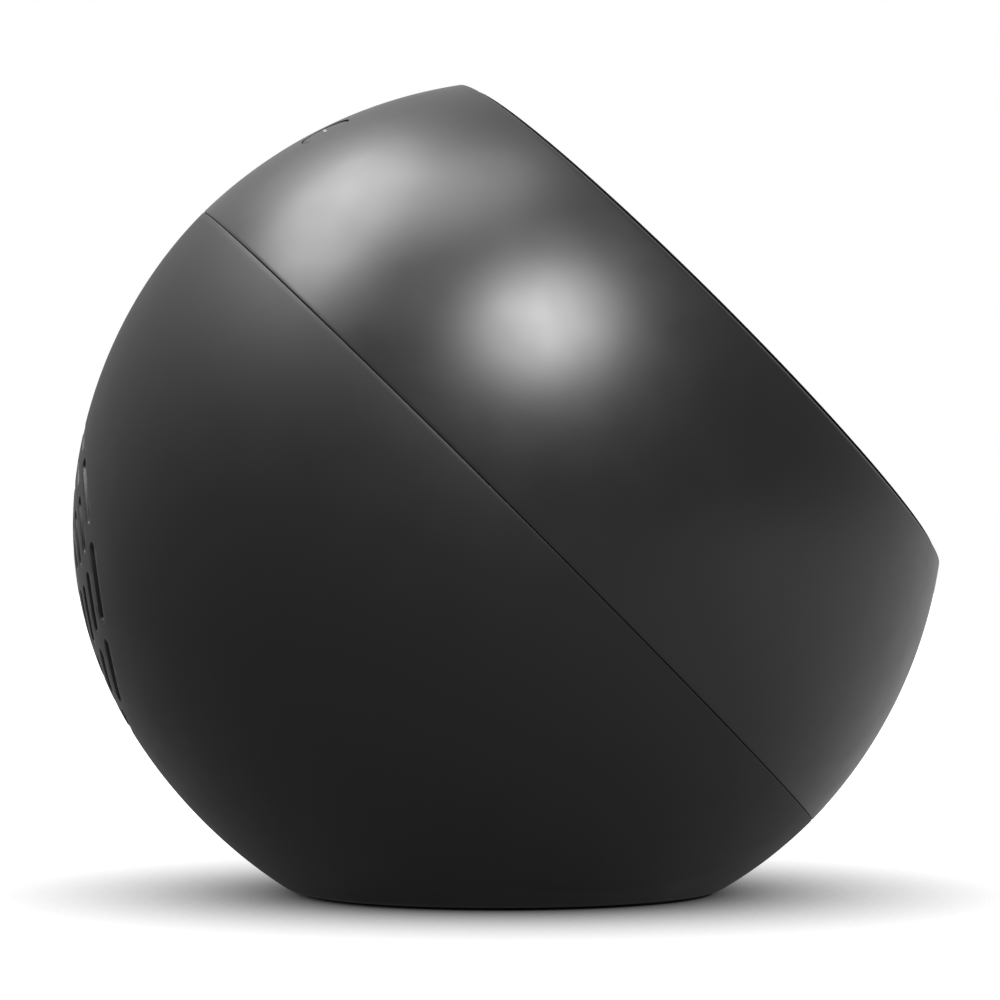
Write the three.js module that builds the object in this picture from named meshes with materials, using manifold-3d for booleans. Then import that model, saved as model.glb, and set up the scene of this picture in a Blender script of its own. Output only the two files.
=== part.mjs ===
// A compact smart speaker: a ball-shaped body with a round display that tilts up by 45 degrees.
// Millimetres, +Z up, the display faces -Y, the origin is the centre of the foot's underside.
import * as THREE from 'three';
import { mergeVertices } from 'three/addons/utils/BufferGeometryUtils.js';
import Module from 'manifold-3d';

const wasm = await Module();
wasm.setup();

// ---------------------------------------------------------------- driving dimensions

// Body
const bodyRadius = 51.5; // at the seam
const displayTilt = 45; // degrees, the display axis above the horizontal
const flatRadius = 26.4; // flat under the rear shell
const shellWall = 2.2;
const seamGap = 0.3;
const tongueHeight = 2.8; // lap of the front shell inside the rear shell
const tongueWall = 1.2;
const tongueTop = 2.2; // height of its root on the front shell's inner wall
const beadHeight = 0.45; // snap bead round the tongue
const beadRise = 0.5; // middle of the bead above the tongue's end
const rearBulge = 0.0097; // how far the rear half stands out from a true ball
const rearBulgeSkew = 0.01057;
const rimRise = 0.0105; // how far the rim stands out from a true ball
const frontSag = 0.01867; // how far the front band lies in between seam and rim

// Clearances
const fitGap = 0.3; // between pieces that meet
const freeGap = 0.7; // between pieces that only pass each other

// Display stack
const glassRadius = 39.4;
const glassThickness = 2;
const glassProud = 0.3;
const glassChamfer = 0.3;
const rimLip = 0.89; // shell material outside the glass recess
const rimFillet = 0.6;
const adhesiveWidth = 1.9;
const adhesiveThickness = 0.4;
const ledgeWidth = 2.7; // step that the glass is glued to
const ledgeThickness = 2;
const lcdThickness = 3.2;
const cameraBarrelRadius = 1.6;
const cameraSide = 7;
const cameraBodyHeight = 3.8;
const midFrameThickness = 2;
const midFrameWidth = 11.5;
const frameScrewAngles = [30, 150, 270];
const frameScrewOutset = 1.9; // screws outside the ledge's inner edge
const spreaderInset = 5.3; // inside the mid frame's opening
const spreaderThickness = 1.5;
const spreaderDrop = 4.4; // below the mid frame
const shieldSide = 26;
const shieldHeight = 2.6;
const boardInset = 4.8; // inside the mid frame's edge, room for the antennas
const boardThickness = 1.6;
const boardScrewAngles = [30, 150, 270];
const boardPostInset = 4; // posts inside the board's edge
const antennaLength = 16;
const antennaHeight = 14;
const antennaThickness = 0.8;

// Buttons on the top of the front band
const buttonRadius = 3;
const buttonSpacing = 11;
const buttonRecess = 0.15;
const buttonFlangeDepth = 6.1; // cap flange below the skin
const buttonFlangeThickness = 1;
const buttonFlangeLip = 0.8;
const plungerRadius = 1.3;
const plungerLength = 3.1;
const plungerReach = 1; // length of plunger inside the switch body
const switchSide = 6;
const switchHeight = 3.5;
const switchBoreDepth = 1.8;
const buttonBoardWidth = 11;
const buttonBoardLength = 36;
const buttonBoardThickness = 1;
const micHoleRadius = 0.5;
const micRowOffset = 3; // from the row of buttons, fore and aft
const micSize = [3.5, 2.6, 1];

// Rear speaker driver
const driverElevation = -8.9; // degrees, the driver axis against the horizontal, pointing back
const slotWidth = 1.3;
const slotRingPitch = 3.15;
const slotRingCount = 6;
const slotMargin = 1.15; // outer ring inside the driver's edge
const slotBridge = 2.4; // solid left between two dashes
const slotPitch = 9; // least pitch of the dashes along a ring
const slotsPerRing = 10; // most dashes on a ring
const slotTwist = 9; // degrees, each ring against the ring outside it
const clothThickness = 0.5;
const driverRadius = 19.6;
const flangeWidth = 2.6;
const flangeThickness = 1.2;
const gasketThickness = 0.8;
const gasketWidth = 1.8;
const basketWall = 1;
const basketDepth = 10.6;
const basketBackRadius = 12.8;
const basketNeckRadius = 6.6;
const basketWindow = 12; // width of the openings in its side
const topPlateRadius = 13.5;
const topPlateThickness = 2;
const magnetRadius = 15;
const magnetBore = 8;
const magnetThickness = 5;
const yokeThickness = 2.5;
const poleRadius = 5;
const airGap = 0.5; // each side of the voice coil
const coilWall = 0.5;
const surroundWidth = 2.8;
const coneDepth = 4.7;
const conePaper = 0.6;
const coneTravel = 1.5;
const domeRise = 1.8; // crown of the dust cap
const enclosureWall = 1.6;
const enclosureDepth = 23;
const earDrop = 4.5; // screw ears below the cup's rim
const earThickness = 3;
const enclosureScrewAngles = [-90, 30, 150];

// Base and sockets
const footProud = 0.6; // foot below the shell
const footThickness = 1.2;
const footRadius = 24.8;
const footTaper = 0.4;
const plateThickness = 2.5;
const seatThickness = 2.2; // ring inside the rear shell that the base plate is screwed to
const seatInnerRadius = 19;
const baseScrewCircle = 22.2;
const baseScrewAngles = [-90, 15, 165];
const socketBoardThickness = 1.2;
const powerSocketSide = 8;
const powerNoseRadius = 3.7;
const powerBoreRadius = 2.75;
const powerPinRadius = 0.7;
const powerBoreDepth = 9;
const audioSocketSide = 6.6;
const audioNoseRadius = 2.9;
const audioBoreRadius = 1.8;
const audioOffset = 12; // beside the power socket
const socketSetback = 0.9; // nose behind the lower lip of its hole

// Screws
const screwHeadRadius = 2;
const screwHeadHeight = 1.2;
const screwShankRadius = 1;
const bossWall = 1.3;
const beyond = 5; // how far a cutter runs past the skin

// Leads
const leadRadius = 0.9;
const leadX = 8; // where the speaker lead leaves the cup, to the side of the driver axis
const flexWidth = 12;
const flexThickness = 0.3;

// Facets
const facetSag = 0.15; // how far the flat facets of the inner wall stand in
const shellSides = 48;
const innerSides = 24;
const baseSides = 40;
const smallSides = 8;

// ---------------------------------------------------------------- shape helpers

const degrees = THREE.MathUtils.degToRad;

// A solid of revolution about Z from [radius, height] points.
function turned(outline, sides = innerSides) {
  const points = outline.map(([r, z]) => new THREE.Vector2(Math.max(r, 0), z));
  const onAxis = outline[0][0] === 0 && outline.at(-1)[0] === 0;
  if (!onAxis) points.push(points[0].clone());
  if (THREE.ShapeUtils.area(points) < 0) points.reverse();
  return new THREE.LatheGeometry(points, sides).rotateX(Math.PI / 2);
}

// A plain ring or disc about Z.
function ring(inner, outer, low, high, sides = innerSides) {
  const wall = [[outer, low], [outer, high]];
  const core = inner > 0 ? [[inner, high], [inner, low]] : [[0, high]];
  const start = inner > 0 ? [] : [[0, low]];
  return turned([...start, ...wall, ...core], sides);
}

// A box with its middle in x and y, from height low to height high.
function slab(width, depth, low, high, x = 0, y = 0) {
  return new THREE.BoxGeometry(width, depth, high - low).translate(x, y, (low + high) / 2);
}

// A flat outline pushed up from height low to height high.
function plate(shape, low, high, curveSegments = 4) {
  const options = { depth: high - low, bevelEnabled: false, curveSegments };
  return new THREE.ExtrudeGeometry(shape, options).translate(0, 0, low);
}

// A solid tube or strip of the given section along points.
function alongPath(section, points, steps) {
  const path = new THREE.CatmullRomCurve3(points);
  return new THREE.ExtrudeGeometry(section, { steps, extrudePath: path, bevelEnabled: false });
}

function circleSection(radius, sides = 6) {
  const corner = (i) => new THREE.Vector2(
    radius * Math.cos((i * 2 * Math.PI) / sides),
    radius * Math.sin((i * 2 * Math.PI) / sides),
  );
  return new THREE.Shape(Array.from({ length: sides }, (_, i) => corner(i)));
}

function rectangleSection(width, height) {
  const [w, h] = [width / 2, height / 2];
  const corners = [[-w, -h], [w, -h], [w, h], [-w, h]];
  return new THREE.Shape(corners.map(([x, y]) => new THREE.Vector2(x, y)));
}

// manifold-3d solids, for cuts and joins.
function solid(geometry) {
  const bare = geometry.clone();
  bare.deleteAttribute('normal');
  bare.deleteAttribute('uv');
  const merged = mergeVertices(bare, 1e-4);
  return new wasm.Manifold(new wasm.Mesh({
    numProp: 3,
    vertProperties: merged.attributes.position.array,
    triVerts: new Uint32Array(merged.index.array),
  }));
}

function joined(geometries) {
  return geometries.map(solid).reduce((all, one) => all.add(one));
}

function surfaceOf(body) {
  const mesh = body.getMesh();
  const geometry = new THREE.BufferGeometry();
  geometry.setAttribute('position', new THREE.BufferAttribute(mesh.vertProperties, 3));
  geometry.setIndex(new THREE.BufferAttribute(mesh.triVerts, 1));
  geometry.computeVertexNormals();
  return geometry;
}

function finish(color, roughness, metalness = 0) {
  return new THREE.MeshStandardMaterial({ color, roughness, metalness });
}

function piece(parent, name, geometry, material) {
  const mesh = new THREE.Mesh(geometry, material);
  mesh.name = name;
  parent.add(mesh);
  return mesh;
}

// ---------------------------------------------------------------- finishes

const satinBlack = finish(0x3a3a3c, 0.34);
const mattBlack = finish(0x242425, 0.62);
const glassBlack = finish(0x060607, 0.06);
const rubberBlack = finish(0x0e0e0e, 0.85);
const darkPlastic = finish(0x1c1d1f, 0.6);
const greyPlastic = finish(0x55585b, 0.6);
const boardGreen = finish(0x14502f, 0.5);
const tinnedSteel = finish(0xb5b8ba, 0.35, 0.9);
const castAluminium = finish(0xa9adb0, 0.45, 0.9);
const zincSteel = finish(0x9fa2a5, 0.4, 0.9);
const ferriteGrey = finish(0x2b2b2c, 0.7);
const copperRed = finish(0xb36b3c, 0.4, 0.8);
const paperBlack = finish(0x1a1a1a, 0.9);
const clothBlack = finish(0x101010, 0.95);
const foamGrey = finish(0x303030, 0.95);
const flexAmber = finish(0xa8651c, 0.45);

// ---------------------------------------------------------------- body skin

const rimRadius = glassRadius + fitGap + rimLip;
const rimReach = bodyRadius * (1 + rimRise);
const rimDepth = Math.sqrt(rimReach ** 2 - rimRadius ** 2); // rim plane in front of the seam
const rimAngle = Math.PI / 2 + Math.atan2(rimDepth, rimRadius); // from the rear pole

// Distance of the skin from the middle of the body, at an angle from the rear pole.
function skinReach(angle) {
  const quarter = Math.PI / 2;
  if (angle <= quarter) {
    const bulge = rearBulge + rearBulgeSkew * Math.cos(2 * angle);
    return bodyRadius * (1 + Math.sin(2 * angle) ** 2 * bulge);
  }
  const share = (angle - quarter) / (rimAngle - quarter);
  return bodyRadius * (1 + rimRise * share - frontSag * share * (1 - share));
}

// [radius, height] points of the skin, or of its inner wall, between two angles.
function skinArc(from, to, steps, inset = 0) {
  return Array.from({ length: steps + 1 }, (_, i) => {
    const angle = from + ((to - from) * i) / steps;
    const reach = skinReach(angle) - inset;
    return [reach * Math.sin(angle), -reach * Math.cos(angle)];
  });
}

// The angle at which the skin, inset by a wall, has the given height.
function skinAngleAt(height, inset) {
  let [low, high] = [0, rimAngle];
  for (let turn = 0; turn < 40; turn += 1) {
    const middle = (low + high) / 2;
    const above = -(skinReach(middle) - inset) * Math.cos(middle) > height;
    [low, high] = above ? [low, middle] : [middle, high];
  }
  return low;
}

const flatAngle = degrees(displayTilt) - Math.asin(flatRadius / bodyRadius);
const flatDrop = Math.sqrt(skinReach(flatAngle) ** 2 - flatRadius ** 2);
const centreHeight = footProud + flatDrop; // middle of the body above the table

// ---------------------------------------------------------------- frames

// The whole object, on the table.
const speaker = new THREE.Group();

// Display frame: its Z is the display axis, its origin the middle of the body.
const display = new THREE.Group();
display.position.z = centreHeight;
display.rotation.x = degrees(displayTilt);
speaker.add(display);

// Button frame: its Z points out of the middle of the front band's top.
const buttonLift = (rimAngle - Math.PI / 2) / 2;
const buttons = new THREE.Group();
buttons.rotation.x = buttonLift - Math.PI / 2;
display.add(buttons);

// Driver frame: its Z points out of the middle of the grille.
const driver = new THREE.Group();
driver.position.z = centreHeight;
driver.rotation.x = degrees(driverElevation - 90);
speaker.add(driver);

speaker.updateMatrixWorld(true);
const intoDisplay = display.matrixWorld.clone().invert();
const buttonsToDisplay = buttons.matrix.clone();
const driverToDisplay = intoDisplay.clone().multiply(driver.matrixWorld);

// ---------------------------------------------------------------- heights along the display axis

const glassTop = rimDepth + glassProud;
const glassBottom = glassTop - glassThickness;
const adhesiveTop = glassBottom - fitGap;
const ledgeTop = adhesiveTop - adhesiveThickness - fitGap;
const ledgeBottom = ledgeTop - ledgeThickness;
const recessRadius = glassRadius + fitGap;
const ledgeInner = recessRadius - ledgeWidth;
const lcdRadius = ledgeInner - 2 * (cameraBarrelRadius + fitGap);
const lcdTop = glassBottom - fitGap;
const cameraBodyTop = ledgeBottom - 2 * freeGap;
const cameraBodyBottom = cameraBodyTop - cameraBodyHeight;
const cameraY = lcdRadius + fitGap + cameraBarrelRadius;
const midFrameTop = cameraBodyBottom - fitGap;
const midFrameBottom = midFrameTop - midFrameThickness;
const bossRadius = screwShankRadius + fitGap + bossWall;
const frameScrewCircle = ledgeInner + frameScrewOutset;
const midFrameRadius = frameScrewCircle + bossRadius + fitGap;
const midFrameInner = midFrameRadius - midFrameWidth;
const spreaderRadius = midFrameInner - spreaderInset;
const boardRadius = midFrameRadius - boardInset;
const spreaderTop = midFrameBottom - spreaderDrop;
const shieldTop = spreaderTop - spreaderThickness - fitGap;
const boardTop = shieldTop - shieldHeight - fitGap;
const boardBottom = boardTop - boardThickness;

// Screw places on a circle, as [x, y].
function onCircle(radius, angles) {
  return angles.map((angle) => [
    radius * Math.cos(degrees(angle)),
    radius * Math.sin(degrees(angle)),
  ]);
}

// A pan-head screw with its head's top at z = 0, pointing up into the work.
function screw(length) {
  return turned([
    [0, 0],
    [screwHeadRadius, 0],
    [screwHeadRadius, screwHeadHeight],
    [screwShankRadius, screwHeadHeight],
    [screwShankRadius, screwHeadHeight + length],
    [0, screwHeadHeight + length],
  ], smallSides);
}

const screwBore = screwShankRadius + fitGap;

// ---------------------------------------------------------------- front shell

const frameScrewPlaces = onCircle(frameScrewCircle, frameScrewAngles);
const frameBoreTop = ledgeBottom - 1;
const frameScrewLength = frameBoreTop - midFrameBottom;
const tongueOuter = bodyRadius - shellWall - fitGap;
const tongueInner = tongueOuter - tongueWall;
const beadLow = beadRise - tongueHeight;

function frontShellOutline() {
  const seam = seamGap / 2;
  const seamAngle = skinAngleAt(seam, 0);
  const innerTop = skinAngleAt(ledgeBottom, shellWall);
  const innerLow = skinAngleAt(tongueTop + tongueWall, shellWall);
  const filletStart = skinAngleAt(rimDepth - rimFillet, 0);
  return [
    ...skinArc(seamAngle, filletStart, 5),
    [rimRadius - 0.25 * rimFillet, rimDepth - 0.25 * rimFillet],
    [rimRadius - rimFillet, rimDepth],
    [recessRadius, rimDepth],
    [recessRadius, ledgeTop],
    [ledgeInner, ledgeTop],
    [ledgeInner, ledgeBottom],
    ...skinArc(innerTop, innerLow, 3, shellWall),
    [tongueInner, tongueTop],
    [tongueInner, -tongueHeight],
    [tongueOuter - beadHeight / 2, -tongueHeight],
    [tongueOuter, beadLow - beadHeight],
    [tongueOuter + beadHeight, beadLow],
    [tongueOuter, beadLow + beadHeight],
    [tongueOuter, seam],
  ];
}

const buttonFlangeTop = skinReach(Math.PI / 2) - buttonFlangeDepth;
const buttonFlangeBottom = buttonFlangeTop - buttonFlangeThickness;
const buttonPlaces = [-buttonSpacing, 0, buttonSpacing];
const buttonNames = ['volume_down', 'mute', 'volume_up'];
const micPlaces = [[-1, -1], [1, -1], [-1, 1], [1, 1]]
  .map(([side, row]) => [side * buttonSpacing / 2, row * micRowOffset]);

function frontShell() {
  const bosses = frameScrewPlaces.map(([x, y]) =>
    ring(0, bossRadius, midFrameTop + fitGap, ledgeBottom + 0.5, smallSides).translate(x, y, 0));
  const bossHoles = frameScrewPlaces.map(([x, y]) =>
    ring(0, screwBore, midFrameTop, frameBoreTop, smallSides).translate(x, y, 0));
  const throughWall = [buttonFlangeTop - 2, bodyRadius + beyond];
  const buttonHoles = buttonPlaces.map((x) =>
    ring(0, buttonRadius + fitGap, ...throughWall, 16).translate(x, 0, 0));
  const micHoles = micPlaces.map(([x, y]) =>
    ring(0, micHoleRadius, ...throughWall, 6).translate(x, y, 0));
  const bandHoles = [...buttonHoles, ...micHoles]
    .map((hole) => hole.applyMatrix4(buttonsToDisplay));
  return solid(turned(frontShellOutline(), shellSides))
    .add(joined(bosses))
    .subtract(joined([...bossHoles, ...bandHoles]));
}

piece(display, 'front_shell', surfaceOf(frontShell()), satinBlack);

// ---------------------------------------------------------------- rear shell

// A dash of the grille: an arc of the given radius whose ends come to a blunt point.
function dash(radius, middle, halfAngle) {
  const half = slotWidth / 2;
  const tip = halfAngle + half / radius;
  const at = (reach, angle) => new THREE.Vector2(reach * Math.cos(angle), reach * Math.sin(angle));
  const turns = [-halfAngle, 0, halfAngle].map((turn) => middle + turn);
  return new THREE.Shape([
    ...turns.map((angle) => at(radius + half, angle)),
    at(radius, middle + tip),
    ...turns.reverse().map((angle) => at(radius - half, angle)),
    at(radius, middle - tip),
  ]);
}

// Every slot of the grille, on rings about the driver axis.
function grilleSlots(low, high) {
  const cutters = [ring(0, slotWidth / 2, low, high, 8)];
  for (let index = 0; index < slotRingCount; index += 1) {
    const radius = driverRadius - slotMargin - index * slotRingPitch;
    const count = Math.min(slotsPerRing, Math.round((2 * Math.PI * radius) / slotPitch));
    const step = (2 * Math.PI) / count;
    const halfAngle = step / 2 - (slotBridge + slotWidth) / (2 * radius);
    for (let turn = 0; turn < count; turn += 1) {
      const middle = turn * step - degrees(index * slotTwist);
      cutters.push(plate(dash(radius, middle, halfAngle), low, high));
    }
  }
  return cutters;
}

const clothOuter = skinReach(degrees(60)) - shellWall - fitGap - facetSag;
const clothInner = clothOuter - clothThickness;
const gasketTop = Math.sqrt(clothInner ** 2 - driverRadius ** 2) - fitGap;
const flangeTop = gasketTop - gasketThickness - fitGap;
const flangeBottom = flangeTop - flangeThickness;
const enclosureRim = flangeBottom - fitGap;
const enclosureRadius = driverRadius + enclosureWall + fitGap;
const earCircle = enclosureRadius + bossRadius + fitGap;
const earRadius = bossRadius + freeGap;
const earTop = enclosureRim - earDrop;
const earPlaces = onCircle(earCircle, enclosureScrewAngles);
const earScrewLength = earThickness + earDrop;

const plateBottom = footThickness + fitGap;
const plateTop = plateBottom + plateThickness;
const seatBottom = plateTop + fitGap;
const seatTop = seatBottom + seatThickness;
const baseOpening = footRadius + fitGap;
const baseScrewPlaces = onCircle(baseScrewCircle, baseScrewAngles);
const baseBossTop = seatTop + 5;
const baseScrewSink = plateBottom + 0.05;
const baseScrewLength = baseBossTop - 1.6 - baseScrewSink - screwHeadHeight;

const socketBoardBottom = seatTop + fitGap;
const socketBoardTop = socketBoardBottom + socketBoardThickness;
const socketAxis = socketBoardTop + fitGap + powerSocketSide / 2;
const socketDrop = centreHeight - socketAxis;

// How far back the skin, less an inset, is at a drop below the middle and an offset to the side.
function backReach(drop, side, inset = 0) {
  return Math.sqrt((bodyRadius - inset) ** 2 - drop ** 2 - side ** 2);
}

const powerNoseEnd = backReach(socketDrop + powerNoseRadius + fitGap, 0) - socketSetback;
const audioNoseEnd = backReach(socketDrop + audioNoseRadius + fitGap, audioOffset) - socketSetback;
const powerBodyEnd = backReach(
  socketDrop + powerSocketSide / 2, powerSocketSide / 2, shellWall + fitGap,
) - freeGap;
const audioBodyEnd = backReach(
  socketDrop + audioSocketSide / 2, audioOffset + audioSocketSide / 2, shellWall + fitGap,
) - freeGap;

// A round bar along +Y at the height of the sockets.
function socketBar(radius, from, to, x, sides = 16) {
  return ring(0, radius, from, to, sides).rotateX(-Math.PI / 2).translate(x, 0, socketAxis);
}

const socketScrewPlace = [17.5, 14.5];
const socketBoardSpan = { left: -7, right: 20.5, front: 11.5, back: 22 };

function rearShellOutline() {
  const seam = -seamGap / 2;
  const outerSeam = skinAngleAt(seam, 0);
  const wall = bodyRadius - shellWall;
  const innerLow = skinAngleAt(-tongueHeight - 2, shellWall);
  return [
    ...skinArc(0, outerSeam, 10),
    [wall, seam],
    [wall, beadLow + beadHeight],
    [wall + beadHeight, beadLow],
    [wall, beadLow - beadHeight],
    ...skinArc(innerLow, 0, 8, shellWall),
  ].map(([r, z], i, all) => [i === 0 || i === all.length - 1 ? 0 : r, z]);
}

function rearShell() {
  const seatReach = backReach(centreHeight - seatBottom, 0, shellWall / 2);
  const seat = ring(seatInnerRadius, seatReach, seatBottom, seatTop, 32);
  const baseBosses = baseScrewPlaces.map(([x, y]) =>
    ring(0, bossRadius, seatBottom, baseBossTop, smallSides).translate(x, y, 0));
  const baseHoles = baseScrewPlaces.map(([x, y]) =>
    ring(0, screwBore, seatBottom - 1, baseBossTop - 1, smallSides).translate(x, y, 0));
  const boardHole = ring(0, screwBore, seatBottom - 1, seatTop + 1, smallSides)
    .translate(...socketScrewPlace, 0);
  const floorCut = ring(0, bodyRadius * 2, -bodyRadius, footProud, 24);
  const opening = ring(0, baseOpening, footProud - 1, seatBottom, baseSides);
  const powerHole = socketBar(powerNoseRadius + fitGap, powerBodyEnd, bodyRadius + beyond, 0, 20);
  const audioHole = socketBar(audioNoseRadius + fitGap, audioBodyEnd, bodyRadius + beyond, audioOffset);
  const onTable = [seat, ...baseBosses].map((g) => g.applyMatrix4(intoDisplay));
  const cutFromTable = [...baseHoles, boardHole, floorCut, opening, powerHole, audioHole]
    .map((g) => g.applyMatrix4(intoDisplay));

  const bossReach = Math.sqrt((bodyRadius - shellWall / 2) ** 2 - earCircle ** 2) - 0.5;
  const earBosses = earPlaces.map(([x, y]) =>
    ring(0, bossRadius, earTop + fitGap, bossReach, smallSides).translate(x, y, 0));
  const earHoles = earPlaces.map(([x, y]) =>
    ring(0, screwBore, earTop, earTop + 6, smallSides).translate(x, y, 0));
  const onDriver = earBosses.map((g) => g.applyMatrix4(driverToDisplay));
  const cutFromDriver = [...earHoles, ...grilleSlots(clothInner - 1, bodyRadius + beyond)]
    .map((g) => g.applyMatrix4(driverToDisplay));

  return solid(turned(rearShellOutline(), shellSides))
    .add(joined([...onTable, ...onDriver]))
    .subtract(joined([...cutFromTable, ...cutFromDriver]));
}

piece(display, 'rear_shell', surfaceOf(rearShell()), mattBlack);

// ---------------------------------------------------------------- glass, display and camera

piece(display, 'cover_glass', turned([
  [0, glassBottom],
  [glassRadius, glassBottom],
  [glassRadius, glassTop - glassChamfer],
  [glassRadius - glassChamfer, glassTop],
  [0, glassTop],
], shellSides), glassBlack);

const adhesiveOuter = glassRadius - glassChamfer;
piece(display, 'glass_adhesive', ring(
  adhesiveOuter - adhesiveWidth, adhesiveOuter, adhesiveTop - adhesiveThickness, adhesiveTop,
), foamGrey);

piece(display, 'display_module', ring(0, lcdRadius, lcdTop - lcdThickness, lcdTop, 32), darkPlastic);

const cameraBarrel = ring(0, cameraBarrelRadius, cameraBodyTop - 0.5, lcdTop, smallSides)
  .translate(0, cameraY, 0);
const cameraBody = slab(cameraSide, cameraSide, cameraBodyBottom, cameraBodyTop, 0, cameraY);
piece(display, 'camera_module', surfaceOf(joined([cameraBarrel, cameraBody])), darkPlastic);

// ---------------------------------------------------------------- mid frame and its screws

const boardPosts = onCircle(boardRadius - boardPostInset, boardScrewAngles);
const boardScrewLength = boardThickness + 5;

function midFrame() {
  const screwHoles = frameScrewPlaces.map(([x, y]) =>
    ring(0, screwBore, midFrameBottom - 1, midFrameTop + 1, smallSides).translate(x, y, 0));
  const posts = boardPosts.map(([x, y]) =>
    ring(0, bossRadius, boardTop + fitGap, midFrameBottom + 0.5, smallSides).translate(x, y, 0));
  const postHoles = boardPosts.map(([x, y]) =>
    ring(0, screwBore, boardTop, boardTop + 6.2, smallSides).translate(x, y, 0));
  return solid(ring(midFrameInner, midFrameRadius, midFrameBottom, midFrameTop, 32))
    .add(joined(posts))
    .subtract(joined([...screwHoles, ...postHoles]));
}

piece(display, 'mid_frame', surfaceOf(midFrame()), greyPlastic);

frameScrewPlaces.forEach(([x, y], i) => {
  const mesh = piece(display, `frame_screw_${i + 1}`, screw(frameScrewLength), zincSteel);
  mesh.position.set(x, y, midFrameBottom - fitGap - screwHeadHeight);
});

// ---------------------------------------------------------------- main board and what it carries

piece(display, 'heat_spreader', ring(
  0, spreaderRadius, spreaderTop - spreaderThickness, spreaderTop,
), castAluminium);
piece(display, 'processor_shield', slab(
  shieldSide, shieldSide, shieldTop - shieldHeight, shieldTop,
), tinnedSteel);

const buttonBoardTop = buttonFlangeBottom - fitGap - plungerLength + plungerReach - switchHeight - fitGap;
const buttonBoardBottom = buttonBoardTop - buttonBoardThickness;
const buttonBoardInnerY = buttonBoardBottom * Math.cos(buttonLift)
  - (buttonBoardWidth / 2) * Math.sin(buttonLift);
const boardFlatY = Math.min(buttonBoardInnerY - 3, boardRadius - 2);

// A disc with a flat towards the button board.
function mainBoardShape() {
  const flatAngleOnBoard = Math.asin(boardFlatY / boardRadius);
  const shape = new THREE.Shape();
  shape.absarc(0, 0, boardRadius, Math.PI - flatAngleOnBoard, 2 * Math.PI + flatAngleOnBoard, false);
  return shape;
}

const boardHoles = boardPosts.map(([x, y]) =>
  ring(0, screwBore, boardBottom - 1, boardTop + 1, smallSides).translate(x, y, 0));
piece(display, 'main_board', surfaceOf(
  solid(plate(mainBoardShape(), boardBottom, boardTop, 24)).subtract(joined(boardHoles)),
), boardGreen);

boardPosts.forEach(([x, y], i) => {
  const mesh = piece(display, `board_screw_${i + 1}`, screw(boardScrewLength), zincSteel);
  mesh.position.set(x, y, boardBottom - fitGap - screwHeadHeight);
});

[['left', -1], ['right', 1]].forEach(([side, sign]) => {
  const top = midFrameBottom - fitGap;
  const geometry = slab(antennaThickness, antennaLength, top - antennaHeight, top);
  piece(display, `antenna_${side}`, geometry, flexAmber).position.x = sign * (midFrameRadius - 0.6);
});

// Flat flexes from the display and the camera down to the board, through the mid frame.
const displayFlexRun = midFrameInner - 2;
const displayFlexPath = [
  [-lcdRadius + 8, lcdTop - lcdThickness - fitGap - flexThickness],
  [-displayFlexRun + 1.5, lcdTop - lcdThickness - 1.4],
  [-displayFlexRun, midFrameBottom],
  [-displayFlexRun, boardTop + 3],
  [-displayFlexRun + 0.5, boardTop + fitGap],
].map(([y, z]) => new THREE.Vector3(0, y, z));
piece(display, 'display_flex', alongPath(
  rectangleSection(flexWidth, flexThickness), displayFlexPath, 14,
), flexAmber);

const cameraFlexRun = Math.min(midFrameInner - 2, boardFlatY - 2);
const cameraFlexPath = [
  [cameraY - cameraSide / 2 - fitGap, cameraBodyBottom + 1.4],
  [cameraFlexRun + 0.4, cameraBodyBottom + 0.2],
  [cameraFlexRun, midFrameBottom - 1],
  [cameraFlexRun, boardTop + 3],
  [cameraFlexRun - 0.3, boardTop + fitGap],
].map(([y, z]) => new THREE.Vector3(0, y, z));
piece(display, 'camera_flex', alongPath(
  rectangleSection(cameraSide - 2, flexThickness), cameraFlexPath, 14,
), flexAmber);

// ---------------------------------------------------------------- buttons and microphones

const capDome = solid(new THREE.SphereGeometry(
  skinReach((Math.PI / 2 + rimAngle) / 2) - buttonRecess, 40, 28,
));

buttonPlaces.forEach((x, i) => {
  const stem = ring(0, buttonRadius, buttonFlangeTop - 0.5, bodyRadius + 1, 16);
  const flange = ring(0, buttonRadius + buttonFlangeLip, buttonFlangeBottom, buttonFlangeTop, 16);
  const cap = joined([stem, flange].map((g) => g.translate(x, 0, 0))).intersect(capDome);
  piece(buttons, `${buttonNames[i]}_cap`, surfaceOf(cap), satinBlack);

  const plungerTop = buttonFlangeBottom - fitGap;
  const plunger = ring(0, plungerRadius, plungerTop - plungerLength, plungerTop, smallSides);
  piece(buttons, `${buttonNames[i]}_plunger`, plunger, greyPlastic).position.x = x;

  const switchTop = plungerTop - plungerLength + plungerReach;
  const bore = ring(0, plungerRadius + fitGap, switchTop - switchBoreDepth, switchTop + 1, smallSides);
  const block = slab(switchSide, switchSide, switchTop - switchHeight, switchTop);
  const body = surfaceOf(solid(block).subtract(solid(bore)));
  piece(buttons, `${buttonNames[i]}_switch`, body, darkPlastic).position.x = x;
});

piece(buttons, 'button_board', slab(
  buttonBoardLength, buttonBoardWidth, buttonBoardBottom, buttonBoardTop,
), boardGreen);

micPlaces.forEach(([x, y], i) => {
  const [width, depth, height] = micSize;
  const low = buttonBoardTop + fitGap;
  const can = slab(width, depth, low, low + height);
  piece(buttons, `microphone_${i + 1}`, can, tinnedSteel).position.set(x, y, 0);
});

// ---------------------------------------------------------------- speaker driver

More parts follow.
